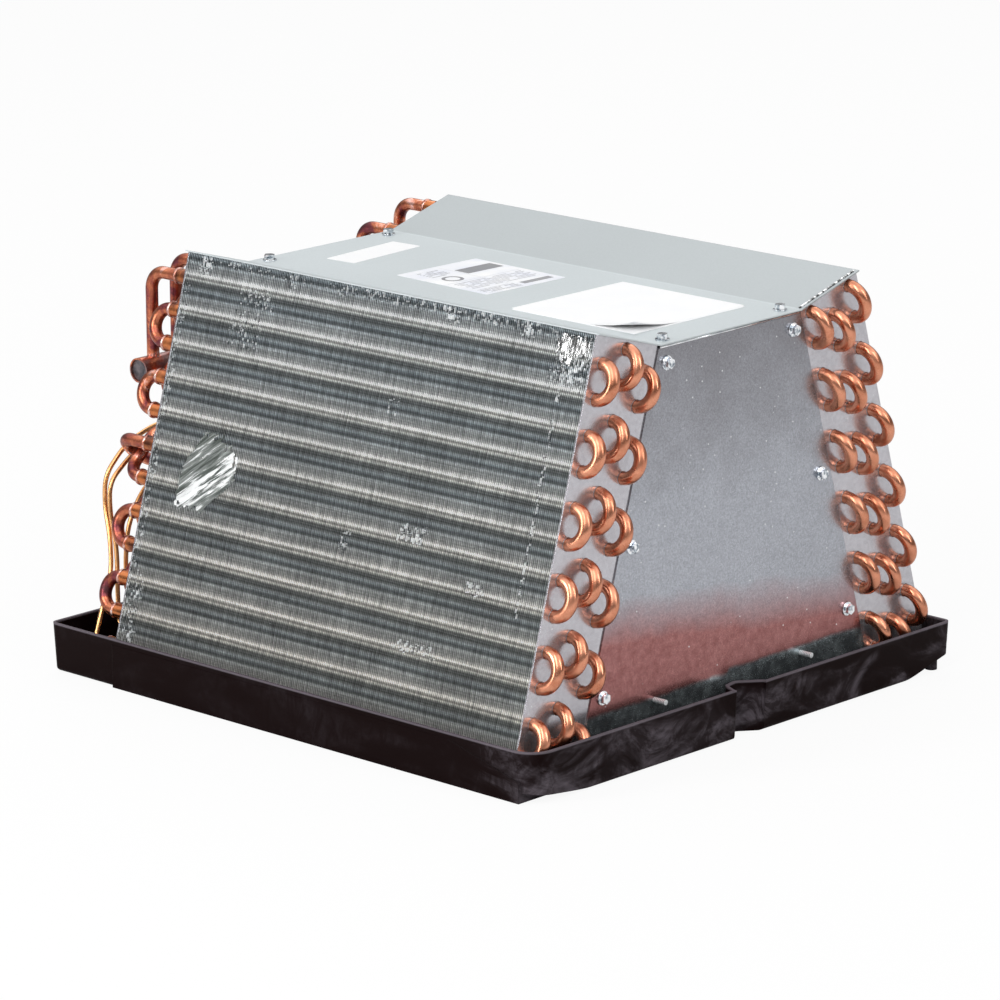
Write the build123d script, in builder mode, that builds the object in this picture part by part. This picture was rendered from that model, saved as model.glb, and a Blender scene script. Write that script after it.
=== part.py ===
"""A-coil evaporator: two finned slabs leaning together over a moulded drain pan."""

import os
from math import cos, hypot, radians, sin, tan

from build123d import *

os.makedirs("parts", exist_ok=True)

# Everything is in millimetres. X runs along the tubes, -X is the piping end, +X the hairpin end.
# Y runs from the front slab to the rear slab and +Z is up. The origin is at the bottom centre.

# Tube bundle
tube_od = 9.52
tube_pitch = 25.4
column_pitch = 22.0
column_names = ("inner", "middle", "outer")
hairpins_per_column = 6
core_length = 406.4
low_start = 0.75
high_start = 0.25
tube_fit = 0.12

# Fins
fin_count = 101
fin_share = 0.5
fin_depth = 2.5

# Lean of the slabs and where they stand
tilt = 16.2
inner_gap = 152.0
foot_height = 4.5

# Sheet metal
sheet_t = 1.2
delta_t = 1.0
top_t = 0.9
wing_width = 22.0
wing_top_gap = 1.7
delta_flange = 17.0
top_overhang = 1.6
top_lip = 1.0
top_screw_edge = 12.5
top_screw_inset = 8.4

# Tube ends at the piping end
bell_od = 11.4
bell_mouth = 16.0
bell_length = 10.0
socket_depth = 7.5
bend_insert = 7.0
hairpin_stub = 0.6
return_turn = 18.6
proud_turn = 33.4

# Suction side: distances out from the tube sheets and down from the top of the slabs
header_out = 46.6
header_drop = 77.6
header_od = 19.05
header_wall = 1.2
header_end = 15.5
stub_root_t = 1.0
stub_root_reach = 3.0
elbow_radius = 14.3
elbow_dip = 3.0
cap_wall = 1.0
cap_depth = 8.0
cap_recess = 2.0
cap_fit = 0.06
line_out = 95.6

# Liquid side
liquid_over_pan = 14.5
liquid_rise = 20.0
distributor_height = 44.0
distributor_cone = 21.0
distributor_top_r = 13.0
distributor_foot_r = 7.5
distributor_chamfer = 2.0
outlet_circle_r = 8.0
outlet_angle = 30.0
outlet_depth = 7.0
liquid_socket = 9.0
insert_gap = 1.0
capillary_od = 3.6
capillary_fit = 0.08
nose_length = 5.0
nose_r = 2.9
cone_length = 4.0
feed_drop = 13.0
feed_turn = 8.0
bend_share = 0.45

# Capillary routes, each point (distance out from the tube sheet, share of the way out to the slab's
# outer foot, share of the height of the slab's top)
capillary_routes = {
    "outer": [
        (56.6, 0.276, 0.518),
        (59.6, 0.499, 0.585),
        (59.6, 0.677, 0.545),
        (59.6, 0.775, 0.474),
        (59.6, 0.780, 0.397),
        (47.6, 0.807, 0.323),
        (41.6, 0.829, 0.242),
        (34.6, 0.905, 0.155),
    ],
    "middle": [
        (52.6, 0.178, 0.532),
        (54.6, 0.463, 0.579),
        (54.6, 0.668, 0.522),
        (52.6, 0.784, 0.461),
        (50.6, 0.793, 0.387),
        (41.6, 0.802, 0.296),
        (36.6, 0.824, 0.195),
    ],
    "inner": [
        (44.6, 0.160, 0.491),
        (46.6, 0.428, 0.498),
        (45.6, 0.651, 0.444),
        (42.6, 0.749, 0.350),
        (40.6, 0.771, 0.236),
        (36.6, 0.771, 0.128),
    ],
}

# Drain pan
pan_height = 37.5
pan_wall = 2.4
pan_floor = 3.0
pan_draft = 3.0
pan_side_gap = 0.5
header_gap = 3.2
pan_corner_r = 4.0
pan_big_corner_r = 18.0
pan_bottom_r = 3.2
collar_wall = 3.0
collar_gap = 3.0
collar_screw_gap = 0.6
collar_corner_r = 10.0
rib_width = 5.0
rib_count = 4
drain_bore_r = 12.0
drain_port_r = 14.6
drain_port_length = 20.0
drain_fit = 0.1
drain_band_r = 16.2
drain_band_length = 8.0
drain_spread = 35.0
primary_drain_height = 18.2
secondary_drain_height = 21.4
groove_spread = 16.0
groove_toe = 11.2
groove_depth = 15.0
groove_corner_r = 4.0

# Drain pan's flat front apron and raised right-hand corners, measured in from the rims
apron_left_inset = 68.1
apron_right_inset = 14.3
apron_crease_inset = 82.3
apron_high = 33.0
apron_low = 15.5
apron_t = 8.0
front_lift_inset = 14.3
front_lift_run = 64.3
front_lift_rise = 7.5
rear_lift_inset = 27.3
rear_lift_run = 51.3
rear_lift_rise = 13.0
peg_inset = 10.5
peg_r = 4.5

# Fasteners
screw_r = 2.0
screw_fit = 0.15
screw_length = 12.0
pan_screw_length = 16.0
hex_across = 7.0
hex_height = 3.6
washer_r = 5.2
washer_t = 1.0
end_screw_inset = 11.1
end_screw_shares = {"front": (0.035, 0.466, 0.82), "rear": (0.033, 0.418, 0.79)}
pan_screw_y = 80.0
pan_screw_drop = 11.0

# Labels on the top plate: two stickers and a paper sheet with a curled corner
sticker_t = 0.15
label_corner_r = 1.5
blank_label_inset = 47.7
blank_label_y = 9.5
blank_label_size = (27.5, 78.0)
blank_label_turn = 4.5
data_label_x = -40.5
data_label_y = 2.2
data_label_size = (95.5, 82.0)
data_label_turn = -2.0
paper_t = 0.3
sheet_inset = 38.0
sheet_y = -2.5
sheet_size = (118.0, 119.0)
leaf_slip = 2.0
curl_turn = -43.0
curl_reach = 34.0
curl_rise = 9.0
curl_past = 1.1

# Sizes worked out from the driving dimensions
lean = radians(tilt)
columns = len(column_names)
rows = 2 * hairpins_per_column
cross_row = 2 * (hairpins_per_column // 2) - 1
slab_width = columns * column_pitch
slab_height = rows * tube_pitch
slab_top = foot_height + slab_height * cos(lean)
half_core = core_length / 2
sheet_face = half_core + sheet_t
delta_face = sheet_face + delta_t
bell_face = sheet_face + bell_mouth
top_face = slab_top + top_t
header_reach = sheet_face + header_out
header_height = slab_top - header_drop
line_reach = sheet_face + line_out
liquid_height = pan_height + liquid_over_pan
distributor_base = liquid_height + liquid_rise
distributor_top = distributor_base + distributor_height
end_screw_depths = {
    side: [share * slab_height for share in shares] for side, shares in end_screw_shares.items()
}
lowest_depth = max(depths[-1] for depths in end_screw_depths.values())
low_screw_z = slab_top - lowest_depth * cos(lean) - end_screw_inset * sin(lean)
top_screw_y = inner_gap / 2 - top_screw_edge
collar_height = low_screw_z - screw_r - collar_screw_gap
pan_screw_z = collar_height - pan_screw_drop
pan_inset = pan_height * tan(radians(pan_draft))
foot_spread = inner_gap / 2 + slab_width * cos(lean) + slab_height * sin(lean)
pan_half_depth = foot_spread + pan_side_gap + pan_inset + pan_wall
hairpin_reach = sheet_face + hairpin_stub + (tube_pitch + tube_od) / 2
pan_right = hairpin_reach + pan_side_gap + pan_inset + pan_wall
pan_left = header_reach + header_od / 2 + header_gap + pan_inset + pan_wall
coil_x = (line_reach - pan_right) / 2
pan_left_x = coil_x - pan_left
pan_right_x = coil_x + pan_right
collar_half_depth = inner_gap / 2 + (slab_top - collar_height) * tan(lean) - collar_gap
header_x = coil_x - header_reach
screw_hole_r = screw_r + screw_fit
tube_hole_r = tube_od / 2 + tube_fit
capillary_hole_r = capillary_od / 2 + capillary_fit
sides = {"front": -1, "rear": 1}
ends = {"left": -1, "right": 1}


def section(side, x=0.0):
    """Cross-section plane of a slab: local x is outwards times side, local y is up along the slab."""
    return Plane(
        origin=(coil_x + x, side * inner_gap / 2, slab_top),
        x_dir=(0, cos(lean), side * sin(lean)),
        z_dir=(1, 0, 0),
    )


def tube_place(side, column, row):
    """Centre of a tube in its slab's section plane; the slabs are the same part turned over."""
    outside_column = column != 1
    start = low_start if outside_column == (side < 0) else high_start
    return (side * (column + 0.5) * column_pitch, -(row + start) * tube_pitch)


def tube_point(side, column, row, x=0.0):
    """Centre of a tube in space, x from the middle of the coil."""
    across, up = tube_place(side, column, row)
    return section(side, x).from_local_coords(Vector(across, up, 0))


def all_tubes(side):
    return [tube_place(side, c, r) for c in range(columns) for r in range(rows)]


def finish(piece, name):
    """Label a finished piece and write its STEP file."""
    piece.part.label = name
    export_step(piece.part, f"parts/{name}.step")


def end_plane(end, x):
    """Plane across the coil at x from its middle, looking outwards at that end."""
    return Plane(origin=(coil_x + end * x, 0, 0), x_dir=(0, end, 0), z_dir=(end, 0, 0))


# Fin packs: thin plates standing proud of a core that the tubes run through
fin_pitch = core_length / (fin_count - fin_share)
fin_t = fin_pitch * fin_share
for side_name, side in sides.items():
    middle = (side * slab_width / 2, -slab_height / 2)
    with BuildPart() as fin_pack:
        with BuildSketch(section(side, -half_core)):
            with Locations(middle):
                Rectangle(slab_width - 2 * fin_depth, slab_height - 2 * fin_depth)
        extrude(amount=core_length)
        with BuildSketch(*[section(side, i * fin_pitch - half_core) for i in range(fin_count)]):
            with Locations(middle):
                Rectangle(slab_width, slab_height)
        extrude(amount=fin_t)
        with BuildSketch(section(side, -half_core)):
            with Locations(*all_tubes(side)):
                Circle(tube_hole_r)
        extrude(amount=core_length, mode=Mode.SUBTRACT)
    finish(fin_pack, f"{side_name}_fin_pack")

# Tube sheets: an end plate on each slab with a wing that the delta plate is screwed to
wing = wing_width / cos(lean)
wing_top_z = slab_top - wing_top_gap
for side_name, side in sides.items():
    for end_name, end in ends.items():
        x = half_core if end > 0 else -sheet_face
        with BuildPart() as tube_sheet:
            with BuildSketch(section(side, x)):
                with Locations((side * slab_width / 2, -slab_height / 2)):
                    Rectangle(slab_width, slab_height)
            extrude(amount=sheet_t)
            with BuildSketch(Plane.YZ.offset(coil_x + x)):
                with BuildLine():
                    edge_top = inner_gap / 2 + wing_top_gap * tan(lean)
                    edge_foot = inner_gap / 2 + slab_height * sin(lean)
                    Polyline(
                        (side * edge_top, wing_top_z),
                        (side * edge_foot, foot_height),
                        (side * (edge_foot - wing), foot_height),
                        (side * (edge_top - wing), wing_top_z),
                        close=True,
                    )
                make_face()
            extrude(amount=sheet_t)
            with BuildSketch(section(side, x)):
                with Locations(*all_tubes(side)):
                    Circle(tube_hole_r)
                with Locations(*[(-side * end_screw_inset, -d) for d in end_screw_depths[side_name]]):
                    Circle(screw_hole_r)
            extrude(amount=sheet_t, mode=Mode.SUBTRACT)
        finish(tube_sheet, f"{side_name}_{end_name}_tube_sheet")

# Delta plates: close the triangle between the slabs at each end, with a flange under the top plate
for end_name, end in ends.items():
    top_half = inner_gap / 2
    foot_half = inner_gap / 2 + slab_height * sin(lean)
    with BuildPart() as delta_plate:
        with BuildSketch(end_plane(end, sheet_face)):
            with BuildLine():
                Polyline(
                    (-foot_half, foot_height),
                    (foot_half, foot_height),
                    (top_half, slab_top),
                    (-top_half, slab_top),
                    close=True,
                )
            make_face()
        extrude(amount=delta_t)
        with BuildSketch(Plane.XY.offset(slab_top - delta_t)):
            with Locations((coil_x + end * (delta_face - delta_flange / 2), 0)):
                Rectangle(delta_flange, 2 * top_half)
        extrude(amount=delta_t)
        rims = delta_plate.edges().filter_by(Axis.Y).group_by(Axis.Z)[-1]
        fillet(rims.sort_by(Axis.X)[-1 if end > 0 else 0], delta_t / 2)
        for side_name, side in sides.items():
            with BuildSketch(section(side, end * sheet_face)):
                with Locations(*[(-side * end_screw_inset, -d) for d in end_screw_depths[side_name]]):
                    Circle(screw_hole_r)
            extrude(amount=end * delta_t, mode=Mode.SUBTRACT)
        with BuildSketch(end_plane(end, sheet_face)):
            with Locations((-pan_screw_y, pan_screw_z), (pan_screw_y, pan_screw_z)):
                Circle(screw_hole_r)
        extrude(amount=delta_t, mode=Mode.SUBTRACT)
        with BuildSketch(Plane.XY.offset(slab_top - delta_t)):
            x = coil_x + end * (delta_face - top_screw_inset)
            with Locations((x, -top_screw_y), (x, top_screw_y)):
                Circle(screw_hole_r)
        extrude(amount=delta_t, mode=Mode.SUBTRACT)
    finish(delta_plate, f"{end_name}_delta_plate")

# Top plate: flat over the gap, folded up along the sloping tops of both slabs
plate_half = delta_face + top_overhang
flange_run = slab_width + top_lip
with BuildPart() as top_plate:
    with BuildSketch(Plane.YZ.offset(coil_x - plate_half)) as profile:
        with BuildLine():
            underside = Polyline(
                (-inner_gap / 2 - flange_run * cos(lean), slab_top + flange_run * sin(lean)),
                (-inner_gap / 2, slab_top),
                (inner_gap / 2, slab_top),
                (inner_gap / 2 + flange_run * cos(lean), slab_top + flange_run * sin(lean)),
            )
            offset(underside, amount=top_t, side=Side.LEFT, closed=True)
        make_face()
    extrude(amount=2 * plate_half)
    with BuildSketch(Plane.XY.offset(slab_top)):
        with Locations(Location((coil_x, 0))):
            with GridLocations(2 * (delta_face - top_screw_inset), 2 * top_screw_y, 2, 2):
                Circle(screw_hole_r)
    extrude(amount=top_t, mode=Mode.SUBTRACT)
finish(top_plate, "top_plate")


def u_tube(side, first, last, outward, x_from, x_turn):
    """Round tube out along one tube axis, round a bend and back along another."""
    a = tube_point(side, *first)
    b = tube_point(side, *last)
    span = (b - a).length
    direction = Vector(outward, 0, 0)
    plane = Plane(origin=(a + b) / 2, x_dir=direction, z_dir=direction.cross(b - a))
    with BuildPart() as tube:
        with BuildLine(plane) as route:
            if span < 1.5 * tube_pitch:
                Line((x_from, -span / 2), (x_turn, -span / 2))
                ThreePointArc((x_turn, -span / 2), (x_turn + span / 2, 0), (x_turn, span / 2))
                Line((x_turn, span / 2), (x_from, span / 2))
            else:
                x_across = x_turn + tube_pitch / 2
                FilletPolyline(
                    (x_from, -span / 2),
                    (x_across, -span / 2),
                    (x_across, span / 2),
                    (x_from, span / 2),
                    radius=tube_pitch / 2,
                )
        with BuildSketch(route.wires()[0] ^ 0):
            Circle(tube_od / 2)
        sweep()
    return tube.part


# Hairpins: long U tubes through both sheets, their open ends swaged into bells
pin_turn = sheet_face + hairpin_stub
for side_name, side in sides.items():
    for column, column_name in enumerate(column_names):
        pins = [
            u_tube(side, (column, row), (column, row + 1), 1, socket_depth - bell_face, pin_turn)
            for row in range(0, rows, 2)
        ]
        mouths = [tube_place(side, column, row) for row in range(rows)]
        with BuildPart() as hairpins:
            add(pins)
            with BuildSketch(section(side, -bell_face)):
                with Locations(*mouths):
                    Circle(bell_od / 2)
            extrude(amount=bell_length)
            with BuildSketch(section(side, -bell_face)):
                with Locations(*mouths):
                    Circle(tube_hole_r)
            extrude(amount=socket_depth, mode=Mode.SUBTRACT)
        finish(hairpins, f"{side_name}_{column_name}_hairpins")

# Return bends: join neighbouring hairpins of a column at the piping end
bend_from = bell_face - bend_insert
for side_name, side in sides.items():
    bends = [
        u_tube(side, (column, row), (column, row + 1), -1, bend_from, sheet_face + return_turn)
        for column in range(columns)
        for row in range(1, rows - 1, 2)
        if column == 0 or row != cross_row
    ]
    with BuildPart() as return_bends:
        add(bends)
    finish(return_bends, f"{side_name}_return_bends")

# Crossovers: halfway down, the outer and middle columns change places, one bend over the other
for side_name, side in sides.items():
    pairs = [((2, cross_row), (1, cross_row + 1)), ((1, cross_row), (2, cross_row + 1))]
    pairs.sort(key=lambda pair: (tube_point(side, *pair[0]) - tube_point(side, *pair[1])).length)
    for name, pair, turn in (("proud", pairs[0], proud_turn), ("wide", pairs[1], return_turn)):
        with BuildPart() as crossover:
            add(u_tube(side, *pair, -1, bend_from, sheet_face + turn))
        finish(crossover, f"{side_name}_{name}_crossover")

# Suction elbows: from the top tube of each column down into the header
header_axis = Plane(origin=(header_x, 0, header_height), x_dir=(1, 0, 0), z_dir=(0, 1, 0))
top_tubes = {side: [tube_point(side, c, 0) for c in range(columns)] for side in sides.values()}
for side_name, side in sides.items():
    with BuildPart() as elbows:
        for tube in top_tubes[side]:
            with BuildLine(Plane.XZ.offset(-tube.Y)) as route:
                FilletPolyline(
                    (coil_x - bell_face + bend_insert, tube.Z),
                    (header_x, tube.Z),
                    (header_x, header_height + header_od / 2 - elbow_dip),
                    radius=elbow_radius,
                )
            with BuildSketch(route.wires()[0] ^ 0):
                Circle(tube_od / 2)
            sweep()
    finish(elbows, f"{side_name}_suction_elbows")

# Suction header: one tube across both slabs, holed for the elbows and the suction stub
header_front = top_tubes[-1][-1].Y - header_end
header_rear = top_tubes[1][-1].Y + header_end
header_length = header_rear - header_front
header_bore_r = header_od / 2 - header_wall
with BuildPart() as header:
    with BuildSketch(header_axis.offset(header_front)):
        Circle(header_od / 2)
        Circle(header_bore_r, mode=Mode.SUBTRACT)
    extrude(amount=header_length)
    with BuildSketch(Plane.XY.offset(header_height)):
        with Locations(*[(header_x, tube.Y) for tubes in top_tubes.values() for tube in tubes]):
            Circle(tube_hole_r)
    extrude(amount=header_od, mode=Mode.SUBTRACT)
    with BuildSketch(Plane.YZ.offset(header_x)):
        with Locations((0, header_height)):
            Circle(header_bore_r - header_wall)
    extrude(amount=-header_od, mode=Mode.SUBTRACT)
finish(header, "suction_header")

# Header caps: drawn cups pushed into the ends of the header
with BuildPart() as header_caps:
    for y, into in ((header_front, 1), (header_rear, -1)):
        with BuildSketch(header_axis.offset(y + into * cap_recess)):
            Circle(header_bore_r - cap_fit)
        extrude(amount=into * cap_depth)
        with BuildSketch(header_axis.offset(y + into * (cap_recess + cap_wall))):
            Circle(header_bore_r - cap_fit - cap_wall)
        extrude(amount=into * cap_depth, mode=Mode.SUBTRACT)
finish(header_caps, "header_caps")

# Suction stub: open at the far end, with a thicker root saddle-cut to the header
with BuildPart() as suction_stub:
    with BuildSketch(Plane.YZ.offset(header_x - header_od / 2 - stub_root_reach)):
        with Locations((0, header_height)):
            Circle(header_od / 2 + stub_root_t)
            Circle(header_bore_r, mode=Mode.SUBTRACT)
    extrude(amount=header_od / 2 + stub_root_reach)
    with BuildSketch(Plane.YZ.offset(coil_x - line_reach)):
        with Locations((0, header_height)):
            Circle(header_od / 2)
            Circle(header_bore_r, mode=Mode.SUBTRACT)
    extrude(amount=line_reach - header_reach)
    with BuildSketch(header_axis.offset(-header_od)):
        Circle(header_od / 2 + cap_fit)
    extrude(amount=2 * header_od, mode=Mode.SUBTRACT)
finish(suction_stub, "suction_stub")

# Distributor: a turned nozzle body that splits the liquid between the capillaries
with BuildPart() as distributor:
    with BuildSketch(Plane.XZ):
        with BuildLine():
            Polyline(
                (header_x, distributor_base),
                (header_x + distributor_foot_r, distributor_base),
                (header_x + distributor_foot_r, distributor_base + liquid_socket),
                (header_x + distributor_top_r, distributor_base + liquid_socket + distributor_cone),
                (header_x + distributor_top_r, distributor_top - distributor_chamfer),
                (header_x + distributor_top_r - distributor_chamfer, distributor_top),
                (header_x, distributor_top),
                close=True,
            )
        make_face()
    revolve(axis=Axis((header_x, 0, 0), (0, 0, 1)))
    with BuildSketch(Plane.XY.offset(distributor_base)):
        with Locations((header_x, 0)):
            Circle(tube_hole_r)
    extrude(amount=liquid_socket, mode=Mode.SUBTRACT)
    with BuildSketch(Plane.XY.offset(distributor_top)):
        with Locations((header_x, 0)):
            with PolarLocations(outlet_circle_r, 2 * columns, start_angle=outlet_angle) as spots:
                Circle(capillary_hole_r)
    extrude(amount=-outlet_depth, mode=Mode.SUBTRACT)
finish(distributor, "distributor")

# Liquid line: in over the pan's rim and up into the distributor
with BuildPart() as liquid_line:
    with BuildLine(Plane.XZ) as route:
        FilletPolyline(
            (coil_x - line_reach, liquid_height),
            (header_x, liquid_height),
            (header_x, distributor_base + liquid_socket - insert_gap),
            radius=elbow_radius,
        )
    with BuildSketch(route.wires()[0] ^ 0):
        Circle(tube_od / 2)
    sweep()
finish(liquid_line, "liquid_line")

# Feed noses: reducers in the bells of the bottom tubes, one for each capillary
nose_face = bell_face + cone_length + nose_length
for side_name, side in sides.items():
    with BuildPart() as feed_noses:
        for column in range(columns):
            foot = tube_point(side, column, rows - 1)
            with BuildSketch(Plane.XZ.offset(-foot.Y)):
                with BuildLine():
                    Polyline(
                        (coil_x - bell_face + bend_insert, foot.Z),
                        (coil_x - bell_face + bend_insert, foot.Z + tube_od / 2),
                        (coil_x - bell_face, foot.Z + tube_od / 2),
                        (coil_x - bell_face - cone_length, foot.Z + nose_r),
                        (coil_x - nose_face, foot.Z + nose_r),
                        (coil_x - nose_face, foot.Z),
                        close=True,
                    )
                make_face()
            revolve(axis=Axis(foot, (1, 0, 0)))
            with BuildSketch(Plane.YZ.offset(coil_x - nose_face)):
                with Locations((foot.Y, foot.Z)):
                    Circle(capillary_hole_r)
            extrude(amount=nose_length, mode=Mode.SUBTRACT)
    finish(feed_noses, f"{side_name}_feed_noses")

# Capillaries: rigid feed tubes from the distributor over the header end and down to each nose.
distributor_spots = {side: [] for side in sides.values()}
for spot in spots:
    distributor_spots[1 if spot.position.Y > 0 else -1].append(spot.position)


def bend_radii(points):
    """Radius at each inner corner, as large as the runs beside it leave room for."""
    radii = []
    for before, corner, after in zip(points, points[1:], points[2:]):
        run = min((corner - before).length, (after - corner).length)
        turn = (corner - before).get_angle(after - corner)
        radii.append(bend_share * run / tan(radians(turn) / 2))
    return radii


for side_name, side in sides.items():
    starts = sorted(distributor_spots[side], key=lambda spot: spot.X)
    for column, column_name in enumerate(column_names):
        start = starts[columns - 1 - column]
        foot = tube_point(side, column, rows - 1)
        nose = Vector(coil_x - nose_face + nose_length - insert_gap, foot.Y, foot.Z)
        points = [Vector(start.X, start.Y, distributor_top - outlet_depth + insert_gap)]
        points.append(Vector(start.X, start.Y, distributor_top + feed_drop))
        for out, away, height in capillary_routes[column_name]:
            points.append(
                Vector(coil_x - sheet_face - out, side * away * foot_spread, height * slab_top)
            )
        points.append(Vector(coil_x - nose_face - feed_turn, foot.Y, foot.Z))
        points.append(nose)
        with BuildPart() as capillary:
            with BuildLine() as route:
                FilletPolyline(*points, radius=bend_radii(points))
            with BuildSketch(route.wires()[0] ^ 0):
                Circle(capillary_od / 2)
            sweep()
        finish(capillary, f"{side_name}_{column_name}_capillary")

# Drain pan: a moulded trough round an upstanding collar that frames the air opening
pan_length = pan_left + pan_right - 2 * pan_inset
pan_depth = 2 * (pan_half_depth - pan_inset)
pan_mid_x = (pan_left_x + pan_right_x) / 2
front_right = Axis((0, 0, 0), (1, -1, 0))
drain_centres = [(-drain_spread, primary_drain_height), (drain_spread, secondary_drain_height)]
drain_end = pan_left_x - drain_port_length
drain_length = drain_port_length + pan_inset + 2 * pan_wall


def pan_outline(length, depth, inside):
    """Rectangle round the pan's middle with one large corner, at the front right."""
    with BuildSketch() as outline:
        with Locations((pan_mid_x, 0)):
            Rectangle(length, depth)
        big, *small = outline.vertices().sort_by(front_right)[::-1]
        fillet(big, pan_big_corner_r - inside)
        fillet(outline.vertices().sort_by(front_right)[:-2], pan_corner_r - inside)
    return outline.sketch


def corner_wedge(y_start, y_end, rise, base, x_from):
    """Wedge across the right-hand end of the pan, rising from base towards one corner."""
    with BuildPart() as wedge:
        with BuildSketch(Plane.YZ.offset(x_from)):
            with BuildLine():
                Polyline((y_start, base), (y_end, base + rise), (y_end, base - rise), close=True)
            make_face()
        extrude(amount=pan_right_x - x_from)
    return wedge.part


def lifts(base, inside):
    """The two raised corners, at the outside of the pan or, a floor higher, inside it."""
    y = pan_half_depth
    front_x = pan_right_x - front_lift_inset - inside
    rear_x = pan_right_x - rear_lift_inset - inside
    return [
        corner_wedge(front_lift_run - y, -y, front_lift_rise, base, front_x),
        corner_wedge(y - rear_lift_run, y, rear_lift_rise, base, rear_x),
    ]


# Groove down the right-hand wall
with BuildSketch() as groove:
    lip = pan_right_x + pan_wall
    with BuildLine():
        FilletPolyline(
            (lip, groove_spread),
            (pan_right_x - pan_wall, groove_spread),
            (pan_right_x - groove_depth, 0),
            (pan_right_x - groove_depth + pan_wall, -groove_toe),
            (pan_right_x - pan_wall, -groove_spread),
            (lip, -groove_spread),
            radius=groove_corner_r,
        )
        Line((lip, -groove_spread), (lip, groove_spread))
    make_face()

# Hollow of the pan, with the groove's back, the raised corners and the ribs left standing in it
with BuildPart() as trough:
    inset_at_floor = pan_wall - pan_floor * tan(radians(pan_draft))
    with BuildSketch(Plane.XY.offset(pan_floor)):
        add(pan_outline(pan_length - 2 * inset_at_floor, pan_depth - 2 * inset_at_floor, pan_wall))
    extrude(amount=pan_height, taper=-pan_draft)
    with BuildSketch():
        add(groove.sketch)
        offset(amount=pan_wall, kind=Kind.ARC)
    extrude(amount=2 * pan_height, mode=Mode.SUBTRACT)
    add(lifts(pan_floor, pan_wall), mode=Mode.SUBTRACT)
    with BuildSketch(Plane.XY.offset(pan_floor)):
        with Locations((coil_x, 0)):
            with GridLocations(core_length / (rib_count - 1), 0, rib_count, 1):
                Rectangle(rib_width, 2 * pan_half_depth)
    extrude(amount=foot_height - pan_floor, mode=Mode.SUBTRACT)

with BuildPart() as drain_pan:
    with BuildSketch():
        add(pan_outline(pan_length, pan_depth, 0))
    extrude(amount=pan_height, taper=-pan_draft)
    fillet(drain_pan.faces().sort_by(Axis.Z)[0].edges(), pan_bottom_r)
    with BuildSketch(Plane.XZ.offset(pan_half_depth)):
        with BuildLine():
            Polyline(
                (pan_left_x + apron_left_inset, 0),
                (pan_right_x - apron_right_inset, 0),
                (pan_right_x - apron_right_inset, apron_low),
                (pan_right_x - apron_crease_inset, apron_high),
                (pan_left_x + apron_left_inset, apron_high),
                close=True,
            )
        make_face()
    extrude(amount=-apron_t)
    add(lifts(0, 0), mode=Mode.SUBTRACT)
    with BuildSketch():
        add(groove.sketch)
    extrude(amount=pan_height, mode=Mode.SUBTRACT)
    add(trough.part, mode=Mode.SUBTRACT)
    with BuildSketch(Plane.YZ.offset(drain_end)):
        with Locations(*drain_centres):
            Circle(drain_port_r + drain_fit)
    extrude(amount=drain_length, mode=Mode.SUBTRACT)
    peg_y = pan_half_depth - peg_inset
    lift_at_peg = rear_lift_rise * (rear_lift_run - peg_inset) / rear_lift_run
    with BuildSketch():
        with Locations((pan_right_x - peg_inset, peg_y)):
            Circle(peg_r)
    extrude(amount=lift_at_peg + pan_floor / 2)
    with BuildSketch():
        with Locations((coil_x, 0)):
            RectangleRounded(core_length, 2 * collar_half_depth, collar_corner_r)
    extrude(amount=collar_height)
    with BuildSketch():
        with Locations((coil_x, 0)):
            opening_r = collar_corner_r - collar_wall
            opening_size = (core_length - 2 * collar_wall, 2 * (collar_half_depth - collar_wall))
            RectangleRounded(*opening_size, opening_r)
    extrude(amount=collar_height, mode=Mode.SUBTRACT)
    with BuildSketch(Plane.YZ.offset(coil_x - half_core)):
        with Locations((-pan_screw_y, pan_screw_z), (pan_screw_y, pan_screw_z)):
            Circle(screw_hole_r)
    extrude(amount=core_length, mode=Mode.SUBTRACT)
finish(drain_pan, "drain_pan")

# Drain ports: bushings through the left-hand wall of the pan, the spare one a little higher
with BuildPart() as drain_ports:
    with BuildSketch(Plane.YZ.offset(drain_end)):
        with Locations(*drain_centres):
            Circle(drain_port_r)
    extrude(amount=drain_length)
    with BuildSketch(Plane.YZ.offset(drain_end)):
        with Locations(*drain_centres):
            Circle(drain_band_r)
    extrude(amount=drain_band_length)
    with BuildSketch(Plane.YZ.offset(drain_end)):
        with Locations(*drain_centres):
            Circle(drain_bore_r)
    extrude(amount=drain_length, mode=Mode.SUBTRACT)
finish(drain_ports, "drain_ports")


def hex_screws(planes, length):
    """Hex washer-head screws, one on each plane, heads outwards and shanks inwards."""
    with BuildPart() as screws:
        with BuildSketch(*planes):
            Circle(washer_r)
        extrude(amount=washer_t)
        with BuildSketch(*[plane.offset(washer_t) for plane in planes]):
            RegularPolygon(hex_across / 2, 6, major_radius=False)
        extrude(amount=hex_height)
        with BuildSketch(*planes):
            Circle(screw_r)
        extrude(amount=-length)
    return screws


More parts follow.
